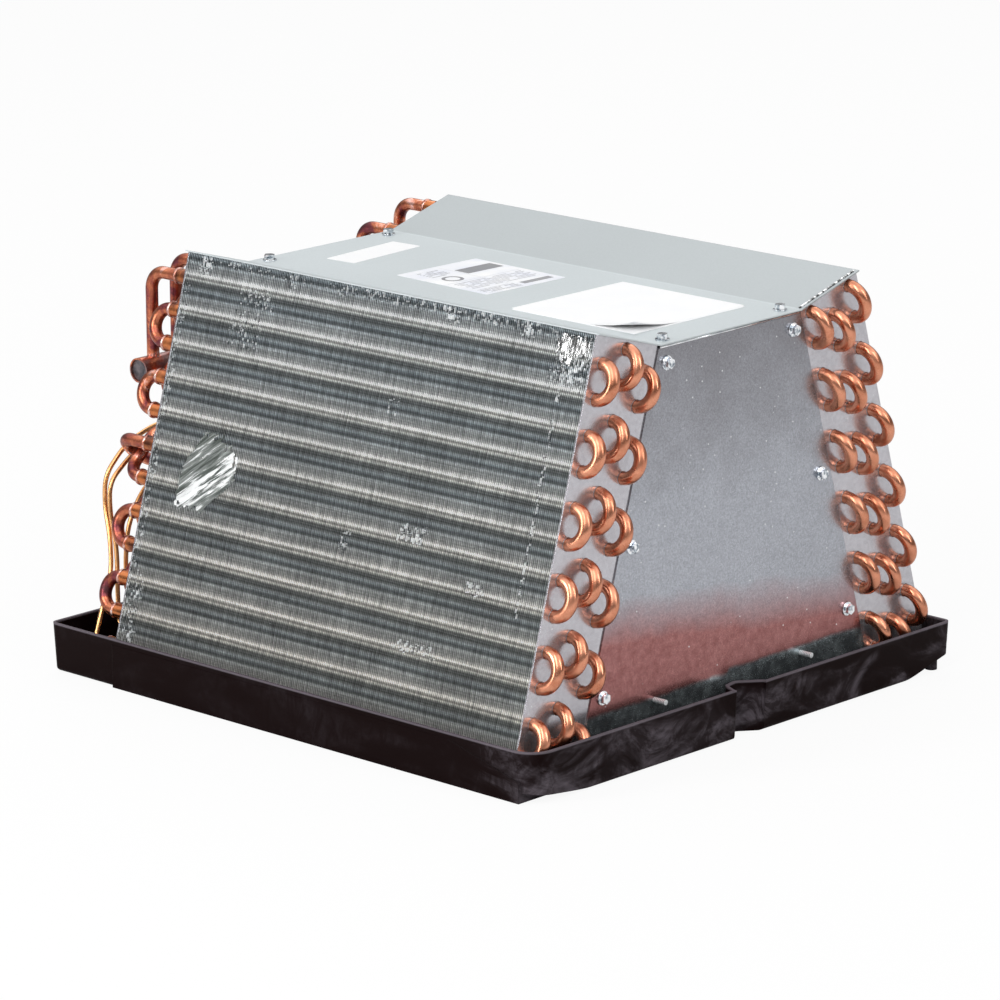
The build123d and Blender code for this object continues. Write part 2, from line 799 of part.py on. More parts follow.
# Screws: four in the top plate, six through each delta plate, two through the collar at each end
screw_x = delta_face - top_screw_inset
top_planes = [
    Plane((coil_x + end * screw_x, side * top_screw_y, top_face))
    for end in ends.values()
    for side in sides.values()
]
finish(hex_screws(top_planes, screw_length), "top_plate_screws")
for end_name, end in ends.items():
    wing_spots = [
        section(side, end * delta_face).from_local_coords((-side * end_screw_inset, -depth, 0))
        for side_name, side in sides.items()
        for depth in end_screw_depths[side_name]
    ]
    delta_planes = [Plane(spot, z_dir=(end, 0, 0)) for spot in wing_spots]
    finish(hex_screws(delta_planes, screw_length), f"{end_name}_delta_screws")
    inside_x = coil_x + end * (half_core - collar_wall)
    collar_planes = [
        Plane((inside_x, y, pan_screw_z), z_dir=(-end, 0, 0)) for y in (-pan_screw_y, pan_screw_y)
    ]
    finish(hex_screws(collar_planes, pan_screw_length), f"{end_name}_pan_screws")

# Stickers: flat rounded labels on the top plate, each stuck on a little askew
blank_label_x = blank_label_inset - plate_half
stickers = {
    "blank_label": (blank_label_x, blank_label_y, blank_label_size, blank_label_turn),
    "data_label": (data_label_x, data_label_y, data_label_size, data_label_turn),
}
for name, (x, y, size, turn) in stickers.items():
    with BuildPart() as sticker:
        with BuildSketch(Plane.XY.offset(top_face)):
            with Locations((coil_x + x, y)):
                RectangleRounded(*size, label_corner_r, rotation=turn)
        extrude(amount=sticker_t)
    finish(sticker, name)

# Instruction sheet: two leaves of paper on the top plate, the upper one curling up at a corner
sheet_width, sheet_depth = sheet_size
sheet_x = coil_x + plate_half - sheet_inset - sheet_width / 2
leaf_z = top_face + paper_t
corner = Plane((sheet_x + sheet_width / 2, sheet_y - sheet_depth / 2, leaf_z)).rotated((0, 0, curl_turn))
crease = Plane(corner.origin - corner.x_dir * curl_reach, x_dir=corner.x_dir, z_dir=-corner.y_dir)
with BuildPart() as upper_leaf:
    with BuildSketch(crease):
        with BuildLine():
            with BuildLine(mode=Mode.PRIVATE) as underside:
                flat = Line((-2 * sheet_width, 0), (0, 0))
                TangentArc((0, 0), (curl_past * curl_reach, curl_past * curl_rise), tangent=flat % 1)
            offset(underside.wires()[0], amount=paper_t, side=Side.LEFT, closed=True)
        make_face()
    extrude(amount=2 * sheet_width, both=True)
    with BuildSketch(Plane.XY.offset(leaf_z)):
        with Locations((sheet_x, sheet_y)):
            Rectangle(sheet_width, sheet_depth)
    extrude(amount=2 * curl_rise, mode=Mode.INTERSECT)
with BuildPart() as instruction_sheet:
    with BuildSketch(Plane.XY.offset(top_face)):
        with Locations((sheet_x + leaf_slip, sheet_y - leaf_slip)):
            Rectangle(sheet_width, sheet_depth)
    extrude(amount=paper_t)
    add(upper_leaf.part)
finish(instruction_sheet, "instruction_sheet")
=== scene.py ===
"""A-coil evaporator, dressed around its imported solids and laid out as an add-on."""

from math import cos, pi, radians, sin

import bmesh
import bpy
from mathutils import Matrix, Vector, noise


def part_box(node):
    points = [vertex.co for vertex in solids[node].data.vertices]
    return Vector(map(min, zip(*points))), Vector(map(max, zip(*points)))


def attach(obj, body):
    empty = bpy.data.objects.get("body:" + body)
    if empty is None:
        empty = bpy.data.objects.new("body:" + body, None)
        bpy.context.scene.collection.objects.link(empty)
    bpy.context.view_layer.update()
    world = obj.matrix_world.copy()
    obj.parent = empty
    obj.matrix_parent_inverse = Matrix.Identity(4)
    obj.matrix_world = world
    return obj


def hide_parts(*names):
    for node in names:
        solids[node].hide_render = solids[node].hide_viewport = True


bl_info = {
    "name": "A-coil evaporator",
    "version": (1, 0, 0),
    "blender": (4, 5, 0),
    "location": "View3D > Sidebar > Coil",
    "description": "Builds the looks of an A-coil evaporator round its solids",
    "category": "Object",
}

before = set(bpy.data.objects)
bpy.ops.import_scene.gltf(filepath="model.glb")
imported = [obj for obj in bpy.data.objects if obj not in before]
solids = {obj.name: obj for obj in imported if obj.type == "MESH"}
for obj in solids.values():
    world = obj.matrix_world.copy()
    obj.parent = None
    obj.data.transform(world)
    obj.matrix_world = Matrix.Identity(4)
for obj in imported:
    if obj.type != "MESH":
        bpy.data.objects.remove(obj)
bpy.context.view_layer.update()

# Places read from the solids
PACK_LOW, PACK_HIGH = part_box("front_fin_pack")
COIL_X = (PACK_LOW[0] + PACK_HIGH[0]) / 2
HALF_CORE = (PACK_HIGH[0] - PACK_LOW[0]) / 2
SLAB_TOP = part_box("top_plate")[0][2]
SHEET_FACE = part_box("front_right_tube_sheet")[1][0] - COIL_X
DELTA_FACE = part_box("right_delta_plate")[1][0] - COIL_X
BELL_FACE = COIL_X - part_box("front_inner_hairpins")[0][0]
SIDES = {"front": -1, "rear": 1}
ENDS = {"left": -1, "right": 1}
COLUMNS = 3
ROWS = 12


class CoilSizes(bpy.types.PropertyGroup):
    """Sizes that the looks are made from."""

    tilt: bpy.props.FloatProperty(
        name="Slab tilt", description="Lean of each slab from upright",
        default=radians(16.2), subtype="ANGLE",
    )
    inner_gap: bpy.props.FloatProperty(
        name="Gap at the top", description="Distance between the slabs' inner top edges",
        default=0.152, unit="LENGTH",
    )
    tube_pitch: bpy.props.FloatProperty(
        name="Tube pitch", description="Distance between tubes down a slab", default=0.0254, unit="LENGTH"
    )
    column_pitch: bpy.props.FloatProperty(
        name="Column pitch", description="Distance between columns of tubes", default=0.022, unit="LENGTH"
    )
    tube_d: bpy.props.FloatProperty(
        name="Tube", description="Outside diameter of the tubes", default=0.00952, unit="LENGTH"
    )
    fin_count: bpy.props.IntProperty(
        name="Fins", description="Fins on each slab", default=232, min=2
    )
    fin_t: bpy.props.FloatProperty(
        name="Fin thickness", description="Thickness of one fin's rippled edge",
        default=0.00032, unit="LENGTH",
    )
    ripple: bpy.props.FloatProperty(
        name="Fin ripple", description="Sideways wave of each fin", default=0.00035, unit="LENGTH"
    )
    braze_r: bpy.props.FloatProperty(
        name="Braze ring", description="Radius of the braze at each bell's mouth",
        default=0.0015, unit="LENGTH",
    )
    collar_h: bpy.props.FloatProperty(
        name="Tube collar", description="Height of the drawn collar round each tube hole",
        default=0.0003, unit="LENGTH",
    )
    bead_r: bpy.props.FloatProperty(
        name="Rolled edge", description="Radius of the end plates' rolled top edge",
        default=0.0009, unit="LENGTH",
    )
    pan_rim: bpy.props.FloatProperty(
        name="Pan rim", description="Height of the drain pan's rim", default=0.0375, unit="LENGTH"
    )


def colour(name, description, default):
    return bpy.props.FloatVectorProperty(
        name=name, description=description, default=default, subtype="COLOR", size=3, min=0, max=1
    )


class CoilColours(bpy.types.PropertyGroup):
    """Colours of the finishes."""

    copper: colour("Copper", "Drawn copper of the hairpins", (0.73, 0.31, 0.19))
    copper_dark: colour("Heated copper", "Copper darkened by the torch", (0.40, 0.118, 0.068))
    feed_copper: colour("Feed tubes", "Thin light copper feed tubes", (0.80, 0.43, 0.18))
    header_brown: colour("Scale", "Purple-brown scale left by the torch", (0.27, 0.19, 0.185))
    zinc: colour("Zinc sheet", "Galvanised sheet metal", (0.40, 0.415, 0.455))
    plate: colour("Top plate", "Dull coated sheet of the top plate", (0.53, 0.575, 0.59))
    plastic: colour("Pan", "Black moulded plastic", (0.0062, 0.0022, 0.0022))
    # also the colour of the painted highlight along the pan's rim
    scuff_and_rim_highlight: colour("Scuffs", "Grey rubbed marks on the plastic", (0.15, 0.13, 0.15))
    paper: colour("Paper", "White paper and label film", (0.97, 0.97, 0.97))
    ink: colour("Ink", "Printed bars on the data label", (0.07, 0.07, 0.08))


def sizes():
    return bpy.context.scene.coil_sizes


def colours():
    return bpy.context.scene.coil_colours


# ---------------------------------------------------------------- finishes


class Nodes:
    """Short ways to add nodes to the tree of a material or a world."""

    def __init__(self, owner):
        owner.use_nodes = True
        self.tree = owner.node_tree

    def feed(self, socket, value):
        if isinstance(value, bpy.types.NodeSocket):
            self.tree.links.new(value, socket)
        elif socket.type == "RGBA" and len(value) == 3:
            socket.default_value = (*value, 1)
        else:
            socket.default_value = value

    def node(self, kind, inputs=None, **settings):
        made = self.tree.nodes.new(kind)
        for key, value in settings.items():
            setattr(made, key, value)
        for key, value in (inputs or {}).items():
            self.feed(made.inputs[key], value)
        return made

    def sum(self, operation, *values, clamp=False):
        inputs = dict(enumerate(values))
        return self.node("ShaderNodeMath", inputs, operation=operation, use_clamp=clamp).outputs[0]

    def product(self, *values):
        made = values[0]
        for value in values[1:]:
            made = self.sum("MULTIPLY", made, value)
        return made

    def length(self, one, two):
        squares = [self.sum("POWER", value, 2.0) for value in (one, two)]
        return self.sum("SQRT", self.sum("ADD", *squares))

    def scaled(self, vector, amount):
        inputs = {0: vector, "Scale": amount}
        return self.node("ShaderNodeVectorMath", inputs, operation="SCALE").outputs[0]

    def vector(self, x, y, z):
        return self.node("ShaderNodeCombineXYZ", {0: x, 1: y, 2: z}).outputs[0]

    def band(self, value, low, high, start=0.0, end=1.0):
        inputs = {0: value, 1: low, 2: high, 3: start, 4: end}
        return self.node("ShaderNodeMapRange", inputs, clamp=True).outputs[0]

    def ramp(self, value, stops):
        made = self.node("ShaderNodeValToRGB", {0: value})
        elements = made.color_ramp.elements
        while len(elements) < len(stops):
            elements.new(1.0)
        for element, (at, shade) in zip(elements, stops):
            element.position = at
            element.color = (*shade, 1) if isinstance(shade, tuple) else (shade, shade, shade, 1)
        return made.outputs[0]

    def mix(self, factor, one, two, blend="MIX"):
        made = self.node("ShaderNodeMix", data_type="RGBA", blend_type=blend)
        self.feed(made.inputs["Factor"], factor)
        self.feed(made.inputs[6], one)
        self.feed(made.inputs[7], two)
        return made.outputs[2]


class Finish(Nodes):
    """One procedural material on the principled shader, in object coordinates."""

    def __init__(self, name, **sockets):
        self.material = bpy.data.materials.new(name)
        super().__init__(self.material)
        self.shader = self.tree.nodes["Principled BSDF"]
        self.place = self.node("ShaderNodeTexCoord").outputs["Object"]
        for socket, value in sockets.items():
            self.put(socket.replace("_", " ").title(), value)

    def put(self, socket, value):
        self.feed(self.shader.inputs[socket], value)

    def parts(self, vector=None):
        made = self.node("ShaderNodeSeparateXYZ", {0: vector or self.place})
        return made.outputs[0], made.outputs[1], made.outputs[2]

    def along(self, direction):
        """Distance of each point along a direction."""
        inputs = {0: self.place, 1: direction}
        return self.node("ShaderNodeVectorMath", inputs, operation="DOT_PRODUCT").outputs["Value"]

    def stretched(self, scale):
        return self.node("ShaderNodeMapping", {0: self.place, 3: scale}).outputs[0]

    def cloud(self, scale, detail=4.0, rough=0.55, vector=None, distortion=0.0):
        inputs = {"Vector": vector or self.place, "Scale": scale, "Detail": detail}
        inputs.update({"Roughness": rough, "Distortion": distortion})
        return self.node("ShaderNodeTexNoise", inputs).outputs["Fac"]

    def cells(self, scale, vector=None, output="Distance"):
        inputs = {"Vector": vector or self.place, "Scale": scale}
        return self.node("ShaderNodeTexVoronoi", inputs).outputs[output]

    def relief(self, height, strength, distance, edge_r=0.0):
        inputs = {"Strength": strength, "Distance": distance, "Height": height}
        if edge_r:
            inputs["Normal"] = self.node("ShaderNodeBevel", {"Radius": edge_r}, samples=4).outputs[0]
        self.put("Normal", self.node("ShaderNodeBump", inputs).outputs[0])


def named(ending):
    """Solids whose names have an ending in common."""
    return [name for name in solids if name.endswith(ending)]


def dress(names, material):
    """Give solids a finish."""
    for name in names:
        data = solids[name].data
        data.materials.clear()
        data.materials.append(material)


def drawn_copper(name, base, dark, tarnish, rough=0.24, heated_end=False, uneven=0.12):
    """Drawn tube: warm metal, blotchy tarnish and fine marks, browner at a brazed left end."""
    made = Finish(name, metallic=1.0, roughness=rough)
    blotch = made.band(made.cloud(75.0, 5.0, 0.6), 0.42, 0.62)
    fine = made.cloud(900.0, 3.0, 0.6)
    tone = made.mix(made.product(blotch, tarnish), base, dark)
    tone = made.mix(made.band(fine, 0.5, 0.75, 0.0, 0.2), tone, (0.85, 0.50, 0.34))
    if heated_end:
        left = COIL_X - SHEET_FACE
        near = made.band(made.parts()[0], left + 0.001, left - 0.002)
        scale = made.mix(blotch, (0.56, 0.19, 0.07), (0.17, 0.06, 0.035))
        tone = made.mix(near, tone, scale)
    made.put("Base Color", tone)
    made.put("Roughness", made.band(made.cloud(70.0, 4.0), 0.3, 0.75, rough - 0.06, rough + 0.16))
    made.relief(made.cloud(260.0, 4.0), uneven, 0.0006)
    return made.material


def torched_copper(name, dulled, dark, dull):
    """Copper heated while it was brazed: purple-brown scale, orange and pink bare patches."""
    tone = colours()
    made = Finish(name, metallic=1.0)
    heat = made.sum("SUBTRACT", made.cloud(52.0, 4.0, 0.6, distortion=0.6), dulled * 0.5)
    stops = (
        (0.30, dark),
        (0.41, dull),
        (0.49, tuple(tone.copper_dark)),
        (0.57, (0.60, 0.21, 0.11)),
        (0.66, (0.90, 0.52, 0.46)),
    )
    fine = made.band(made.cloud(700.0, 3.0, 0.6), 0.35, 0.7, 0.82, 1.18)
    made.put("Base Color", made.scaled(made.ramp(heat, stops), fine))
    made.put("Roughness", made.band(heat, 0.35, 0.65, 0.42, 0.24))
    made.relief(made.cloud(260.0, 4.0), 0.15, 0.0006)
    return made.material


def braze_metal(name):
    """Braze filler: pinkish silver with copper-brown places."""
    made = Finish(name, metallic=1.0, roughness=0.28)
    patches = made.cloud(240.0, 4.0, 0.6)
    shades = ((0.38, (0.42, 0.15, 0.10)), (0.52, (0.66, 0.36, 0.30)), (0.66, (0.90, 0.80, 0.77)))
    made.put("Base Color", made.ramp(patches, shades))
    made.relief(patches, 0.4, 0.0006)
    return made.material


def burnt_scale(name):
    """Nearly black scale on the header's caps."""
    made = Finish(name, metallic=0.7, roughness=0.5)
    shade = made.band(made.cloud(160.0, 4.0), 0.35, 0.65)
    made.put("Base Color", made.mix(shade, (0.05, 0.05, 0.06), (0.17, 0.15, 0.16)))
    made.relief(shade, 0.2, 0.0005)
    return made.material


# Painted light and shade of the rippled fin edges through one tube pitch, down the slab: place and
# brightness of each light crest, dark trough and shoulder
PAINTED_RIPPLE_SHADES = (
    (0.00, 0.19), (0.06, 0.21), (0.10, 0.13), (0.15, 0.07), (0.20, 0.09), (0.25, 0.26), (0.29, 0.27),
    (0.34, 0.18), (0.39, 0.20), (0.45, 0.19), (0.53, 0.31), (0.61, 0.67), (0.66, 0.28), (0.69, 0.16),
    (0.71, 0.19), (0.755, 0.41), (0.81, 0.15), (0.85, 0.07), (0.88, 0.10), (0.92, 0.06), (1.00, 0.16),
)

# Tint of the painted light and shade through the same pitch, from bluish to yellowish and back
PAINTED_RIPPLE_TINTS = (
    (0.00, (0.92, 1.00, 1.04)),
    (0.12, (0.88, 1.00, 1.06)),
    (0.30, (0.95, 1.00, 1.01)),
    (0.60, (1.01, 1.00, 0.98)),
    (0.72, (1.01, 1.00, 0.95)),
    (0.95, (0.91, 1.00, 1.02)),
)

# How much brighter a lit fin edge is than the bands say
FACE_GAIN = 1.65

# The painted highlight on each fin's front edge: how far back it starts and ends, and the brightness of
# the sides' painted shade and of the edges
EDGE_BACK, EDGE_FRONT = 0.0007, 0.0002
EDGE_PAINTED_LIGHT = (0.78, 1.5)

# Knocked places on the front face: middle along the coil, middle down the slab, half sizes, strength
KNOCKS = (
    (-0.2005, 0.150, 0.0045, 0.155, 0.40),
    (-0.1960, 0.272, 0.0100, 0.036, 0.50),
    (0.1850, 0.022, 0.0200, 0.022, 0.75),
    (0.1785, 0.100, 0.0020, 0.110, 0.70),
    (-0.1240, 0.024, 0.0200, 0.008, 0.55),
    (-0.1320, 0.048, 0.0180, 0.016, 0.30),
    (0.0690, 0.1645, 0.0150, 0.008, 0.95),
    (0.1370, 0.192, 0.0100, 0.006, 0.65),
    (0.0050, 0.181, 0.0060, 0.010, 0.50),
    (0.0910, 0.243, 0.0220, 0.006, 0.50),
    (0.0270, 0.078, 0.0070, 0.008, 0.45),
    (0.0700, 0.003, 0.1340, 0.005, 0.48),
    (-0.1350, 0.003, 0.0700, 0.004, 0.28),
    (-0.1830, 0.007, 0.0080, 0.008, 0.90),
    (-0.0940, 0.006, 0.0050, 0.006, 0.80),
    (-0.0400, 0.005, 0.0050, 0.006, 0.70),
    (0.0690, 0.006, 0.0080, 0.008, 0.85),
    (0.1410, 0.006, 0.0080, 0.008, 0.95),
    (0.0000, 0.300, 0.2040, 0.004, 0.35),
)

# Share of a knocked place that is knocked in full, the painted shade in the dents and the painted
# highlight on bent fins
KNOCK_CORE = 0.6
DENT_SHADE_TONE = (0.045, 0.055, 0.062)
BENT_HIGHLIGHT_TONE = (1.25, 1.28, 1.3)

# Slope of the streaks on flattened fins
SLANT = 0.75


def slab_outward(side):
    """Direction out of a slab's outer face."""
    return 0, side * cos(sizes().tilt), sin(sizes().tilt)


def slab_downward(side):
    """Direction down a slab."""
    return 0, side * sin(sizes().tilt), -cos(sizes().tilt)


def from_slab_top(made, side, direction):
    """Distance along a direction from the slab's inner top edge, in object coordinates."""
    start = side * sizes().inner_gap / 2 * direction[1] + SLAB_TOP * direction[2]
    return made.sum("SUBTRACT", made.along(direction), start)


def knocked_amount(made, x, depth):
    """How badly each point of the front face is knocked about."""
    knocked = 0.0
    for middle_x, middle_depth, half_x, half_depth, strength in KNOCKS:
        off_x = made.sum("ABSOLUTE", made.sum("SUBTRACT", x, middle_x))
        off_depth = made.sum("ABSOLUTE", made.sum("SUBTRACT", depth, middle_depth))
        inside = made.product(
            made.band(off_x, half_x, half_x * KNOCK_CORE, 0.0, strength),
            made.band(off_depth, half_depth, half_depth * KNOCK_CORE),
        )
        knocked = made.sum("MAXIMUM", knocked, inside)
    return knocked


def fin_stock(name, side):
    """Rolled fin stock with painted light and shade: repeating light and dark bands of rippled fin edges,
    lit edges and shaded sides, shaded dents and highlit bent fins in front.
    """
    size = sizes()
    made = Finish(name, metallic=0.35, roughness=0.42)
    height = ROWS * size.tube_pitch
    offset = 0.0 if side < 0 else size.tube_pitch / 2
    drift = made.product(made.sum("SUBTRACT", made.cloud(7.0, 2.0), 0.5), 0.0004)
    depth = from_slab_top(made, side, slab_downward(side))
    phase = made.sum("DIVIDE", made.sum("ADD", depth, made.sum("ADD", drift, offset)), size.tube_pitch)
    phase = made.sum("FRACT", phase)
    # painted light and shade of the ripples, repeating every tube pitch
    bands = made.mix(1.0, made.ramp(phase, PAINTED_RIPPLE_SHADES), made.ramp(phase, PAINTED_RIPPLE_TINTS), "MULTIPLY")
    x = made.sum("SUBTRACT", made.parts()[0], COIL_X)

    def grain(across, fall, detail=2.0):
        place = made.vector(made.product(x, across), made.product(depth, fall), 0.0)
        return made.cloud(1.0, detail, 0.6, place)

    comb = made.band(grain(640.0, 45.0), 0.3, 0.7, 0.66, 1.34)
    lines = made.band(grain(12.0, 900.0), 0.3, 0.7, 0.8, 1.2)
    flecks = made.band(grain(420.0, 700.0), 0.3, 0.7, 0.8, 1.22)
    broad = made.band(grain(17.0, 12.0, 3.0), 0.3, 0.7, 0.86, 1.12)
    fall = made.band(depth, 0.0, height, 1.1, 0.86)
    face = COLUMNS * size.column_pitch
    reach = from_slab_top(made, side, slab_outward(side))
    # painted shade on the fin sides between fins, painted highlight on their front edges
    edge = made.band(reach, face - EDGE_BACK, face - EDGE_FRONT, *EDGE_PAINTED_LIGHT)
    tone = made.scaled(bands, made.product(comb, lines, flecks, broad, edge, fall, FACE_GAIN))
    cool = made.mix(1.0, tone, (0.97, 1.0, 1.03), "MULTIPLY")
    warm = made.mix(1.0, tone, (1.05, 1.0, 0.94), "MULTIPLY")
    tone = made.mix(made.band(depth, 0.0, height, 0.1, 0.8), cool, warm)
    if side < 0:
        knocked = knocked_amount(made, x, depth)
        felt = made.band(knocked, 0.02, 0.1)
        # painted shade in the dents
        dent_shade = made.sum("ADD", grain(700.0, 240.0, 3.0), made.product(knocked, 0.12))
        tone = made.mix(made.product(made.band(dent_shade, 0.58, 0.68, 0.0, 0.8), felt), tone, DENT_SHADE_TONE)
        # painted highlight on the bent fins
        bent = made.sum("ADD", grain(950.0, 210.0, 3.0), made.product(knocked, 0.13))
        tone = made.mix(made.product(made.band(bent, 0.60, 0.67), felt), tone, BENT_HIGHLIGHT_TONE)
    spots = made.vector(made.product(x, 240.0), made.product(depth, 260.0), 0.0)
    glint = made.band(made.cells(1.0, spots), 0.07, 0.02, 0.0, 0.6)
    made.put("Base Color", made.mix(glint, tone, (0.9, 0.9, 0.9)))
    made.relief(flecks, 0.3, 0.0004)
    return made.material


def crushed_stock(name):
    """Front fins pressed flat: a painted highlight along a slanting crest and on bright streaks, between
    dull greenish streaks.
    """
    made = Finish(name, metallic=0.5, roughness=0.22)
    front = SIDES["front"]
    depth = from_slab_top(made, front, slab_downward(front))
    x = made.sum("SUBTRACT", made.parts()[0], COIL_X)
    slant = made.sum("ADD", made.product(x, SLANT), depth)
    along = made.sum("SUBTRACT", x, made.product(depth, SLANT))
    place = made.vector(made.product(slant, 260.0), made.product(along, 26.0), 0.0)
    streak = made.cloud(1.0, 5.0, 0.62, place, 0.4)
    # painted highlight along the slanting crest and on the bright streaks
    crest = made.product(made.band(slant, 0.044, 0.054), made.band(slant, 0.069, 0.058))
    bright = made.band(made.sum("ADD", streak, made.product(crest, 0.2)), 0.57, 0.66)
    dull = made.mix(made.band(streak, 0.38, 0.62), (0.085, 0.10, 0.09), (0.33, 0.35, 0.34))
    made.put("Base Color", made.mix(bright, dull, (0.96, 0.98, 0.98)))
    made.relief(streak, 0.6, 0.0012)
    return made.material


def folded_stock(name):
    """Fins folded over at a corner: painted shade in the gaps between painted highlights on the upright
    edges.
    """
    made = Finish(name, metallic=1.0, roughness=0.26)
    turns = made.cloud(1.0, 5.0, 0.65, made.stretched((600.0, 80.0, 110.0)), 0.4)
    # painted shade in the gaps, painted highlights on the upright edges
    made.put("Base Color", made.ramp(turns, ((0.40, 0.04), (0.48, 0.14), (0.53, 0.5), (0.60, 0.95))))
    made.relief(turns, 0.5, 0.001)
    return made.material


def ragged_stock(name):
    """A row of fin ends: painted shade in the gaps between painted highlights on the tips."""
    made = Finish(name, metallic=0.6, roughness=0.35)
    teeth = made.cloud(1.0, 2.0, 0.6, made.stretched((40.0, 330.0, 90.0)))
    # painted shade in the gaps, painted highlights on the tips
    made.put("Base Color", made.ramp(teeth, ((0.44, 0.012), (0.5, 0.2), (0.55, 0.95))))
    made.relief(teeth, 0.5, 0.001)
    return made.material


# Heights between which the end plate's painted reddish and dark reflections fade out and its darkening
# towards the top sets in
RED_REFLECTION = (0.074, 0.109)
DARK_REFLECTION = (0.0405, 0.0435)
TOP_DARKENING = (0.17, 0.285)

# How much higher the painted dark reflection reaches behind the plate's middle
DARK_REFLECTION_STEP = 0.0035

# Depth of the painted shadow under the end plate's rolled edge, and of its soft lower side
EDGE_SHADOW = (0.0018, 0.0026)


def end_plate_bands(made, tone):
    """Painted reflections as a reddish and a dark band low down, a darker top, and a painted shadow under
    the rolled edge.
    """
    _, y, z = made.parts()
    wander = made.product(made.sum("SUBTRACT", made.cloud(22.0, 3.0), 0.5), 0.02)
    level = made.sum("ADD", made.sum("ADD", z, made.product(y, 0.11)), wander)
    patches = made.band(made.cloud(160.0, 4.0, 0.7), 0.35, 0.65)
    # painted reflection: reddish band low down
    red_reflection = made.mix(patches, (0.28, 0.095, 0.088), (0.39, 0.16, 0.15))
    tone = made.mix(made.band(level, *RED_REFLECTION, 0.95, 0.0), tone, red_reflection)
    step = made.band(y, -0.002, 0.001, 0.0, DARK_REFLECTION_STEP)
    level = made.sum("SUBTRACT", made.sum("ADD", z, made.product(wander, 0.3)), step)
    patches = made.band(made.cloud(110.0, 5.0, 0.7), 0.42, 0.68)
    # painted reflection: dark band low down
    dark = made.mix(patches, (0.22, 0.245, 0.26), (0.62, 0.71, 0.73))
    tone = made.mix(made.band(level, *DARK_REFLECTION, 1.0, 0.0), tone, dark)
    # darker towards the top
    top_wander = made.band(made.cloud(30.0, 5.0, 0.65), 0.3, 0.7, -0.03, 0.03)
    darker_top = made.band(made.sum("ADD", z, top_wander), *TOP_DARKENING, 0.0, 0.78)
    tone = made.mix(darker_top, tone, (0.225, 0.22, 0.238))
    tone = made.scaled(tone, made.band(made.cloud(620.0, 3.0, 0.7), 0.35, 0.65, 0.84, 1.16))
    # painted shadow under the rolled edge
    edge_shadow = made.band(z, SLAB_TOP - EDGE_SHADOW[1], SLAB_TOP - EDGE_SHADOW[0])
    return made.mix(edge_shadow, tone, (0.03, 0.03, 0.035))


def zinc_sheet(name, base, rough, end_plate=False):
    """Galvanised sheet: soft spangle, hairline scratches and bright specks."""
    made = Finish(name, metallic=0.82, roughness=rough)
    spangle = made.parts(made.cells(420.0, output="Color"))[0]
    grain = made.band(spangle, 0.0, 1.0, -0.07, 0.07)
    mottle = made.band(made.cloud(14.0, 5.0, 0.6), 0.3, 0.7, -0.05, 0.05)
    tone = made.scaled(base, made.sum("ADD", 1.0, made.sum("ADD", grain, mottle)))
    if end_plate:
        tone = end_plate_bands(made, tone)
    speck = made.band(made.cells(110.0), 0.075, 0.045, 0.0, 0.9)
    made.put("Base Color", made.mix(speck, tone, (0.92, 0.93, 0.94)))
    fine = made.cloud(1100.0, 3.0, 0.7)
    hair = made.cloud(1.0, 3.0, 0.7, made.stretched((300.0, 60.0, 420.0)))
    wear_and_reflections = made.sum("ADD", fine, made.product(hair, 0.4))
    made.put("Roughness", made.band(wear_and_reflections, 0.5, 0.9, rough - 0.05, rough + 0.07))
    made.relief(made.sum("ADD", fine, grain), 0.05, 0.0003, 0.0004)
    return made.material


def plate_coat(name):
    """Dull pale coat of the top plate, with painted shade on the rear flange."""
    made = Finish(name, metallic=0.25, roughness=0.5)
    mottle = made.band(made.cloud(5.0, 3.0), 0.3, 0.7, 0.97, 1.03)
    grain = made.band(made.cloud(700.0, 3.0), 0.3, 0.7, 0.97, 1.03)
    fold_y = sizes().inner_gap / 2
    # painted shade on the rear flange
    flange = made.band(made.parts()[1], fold_y, fold_y + 0.0012, 1.0, 0.72)
    made.put("Base Color", made.scaled(colours().plate, made.product(mottle, grain, flange)))
    made.relief(made.cloud(500.0, 2.0), 0.06, 0.0003, 0.0005)
    return made.material


def rolled_zinc_highlight(name):
    """Zinc of the end plates' rolled top edges, painted lighter than the plates as a highlight."""
    made = Finish(name, metallic=0.9, roughness=0.2)
    shade = made.band(made.cloud(120.0), 0.35, 0.65)
    # painted highlight: lighter than the plates' zinc
    made.put("Base Color", made.mix(shade, (0.62, 0.64, 0.68), (0.93, 0.94, 0.96)))
    made.relief(made.cloud(300.0), 0.1, 0.0003)
    return made.material


def screw_zinc(name):
    """Zinc plate of the screw heads, with painted dark and bright reflections in patches."""
    made = Finish(name, metallic=1.0, roughness=0.16)
    wear_and_reflections = ((0.35, (0.14, 0.16, 0.19)), (0.44, (0.52, 0.57, 0.62)), (0.54, (0.97, 0.98, 1.0)))
    # painted reflections: dark and bright patches
    made.put("Base Color", made.ramp(made.cloud(330.0, 3.0), wear_and_reflections))
    made.relief(made.cloud(500.0), 0.15, 0.0004, 0.0003)
    return made.material


# Turns of thread in a metre of screw
THREAD_TURNS = 700.0


def bright_thread(name):
    """Screw points with the turns of their thread as painted light and shade."""
    made = Finish(name, metallic=0.35, roughness=0.3)
    turns = made.band(made.sum("FRACT", made.product(made.parts()[0], THREAD_TURNS)), 0.3, 0.6)
    # painted light on the thread's turns and painted shade between them
    made.put("Base Color", made.mix(turns, (0.42, 0.46, 0.50), (0.95, 0.97, 0.98)))
    made.relief(turns, 0.3, 0.0003)
    return made.material


# Middle and radius of the worn arc on the pan's right wall
ARC_Y, ARC_Z, ARC_R = 0.15, -0.006, 0.036


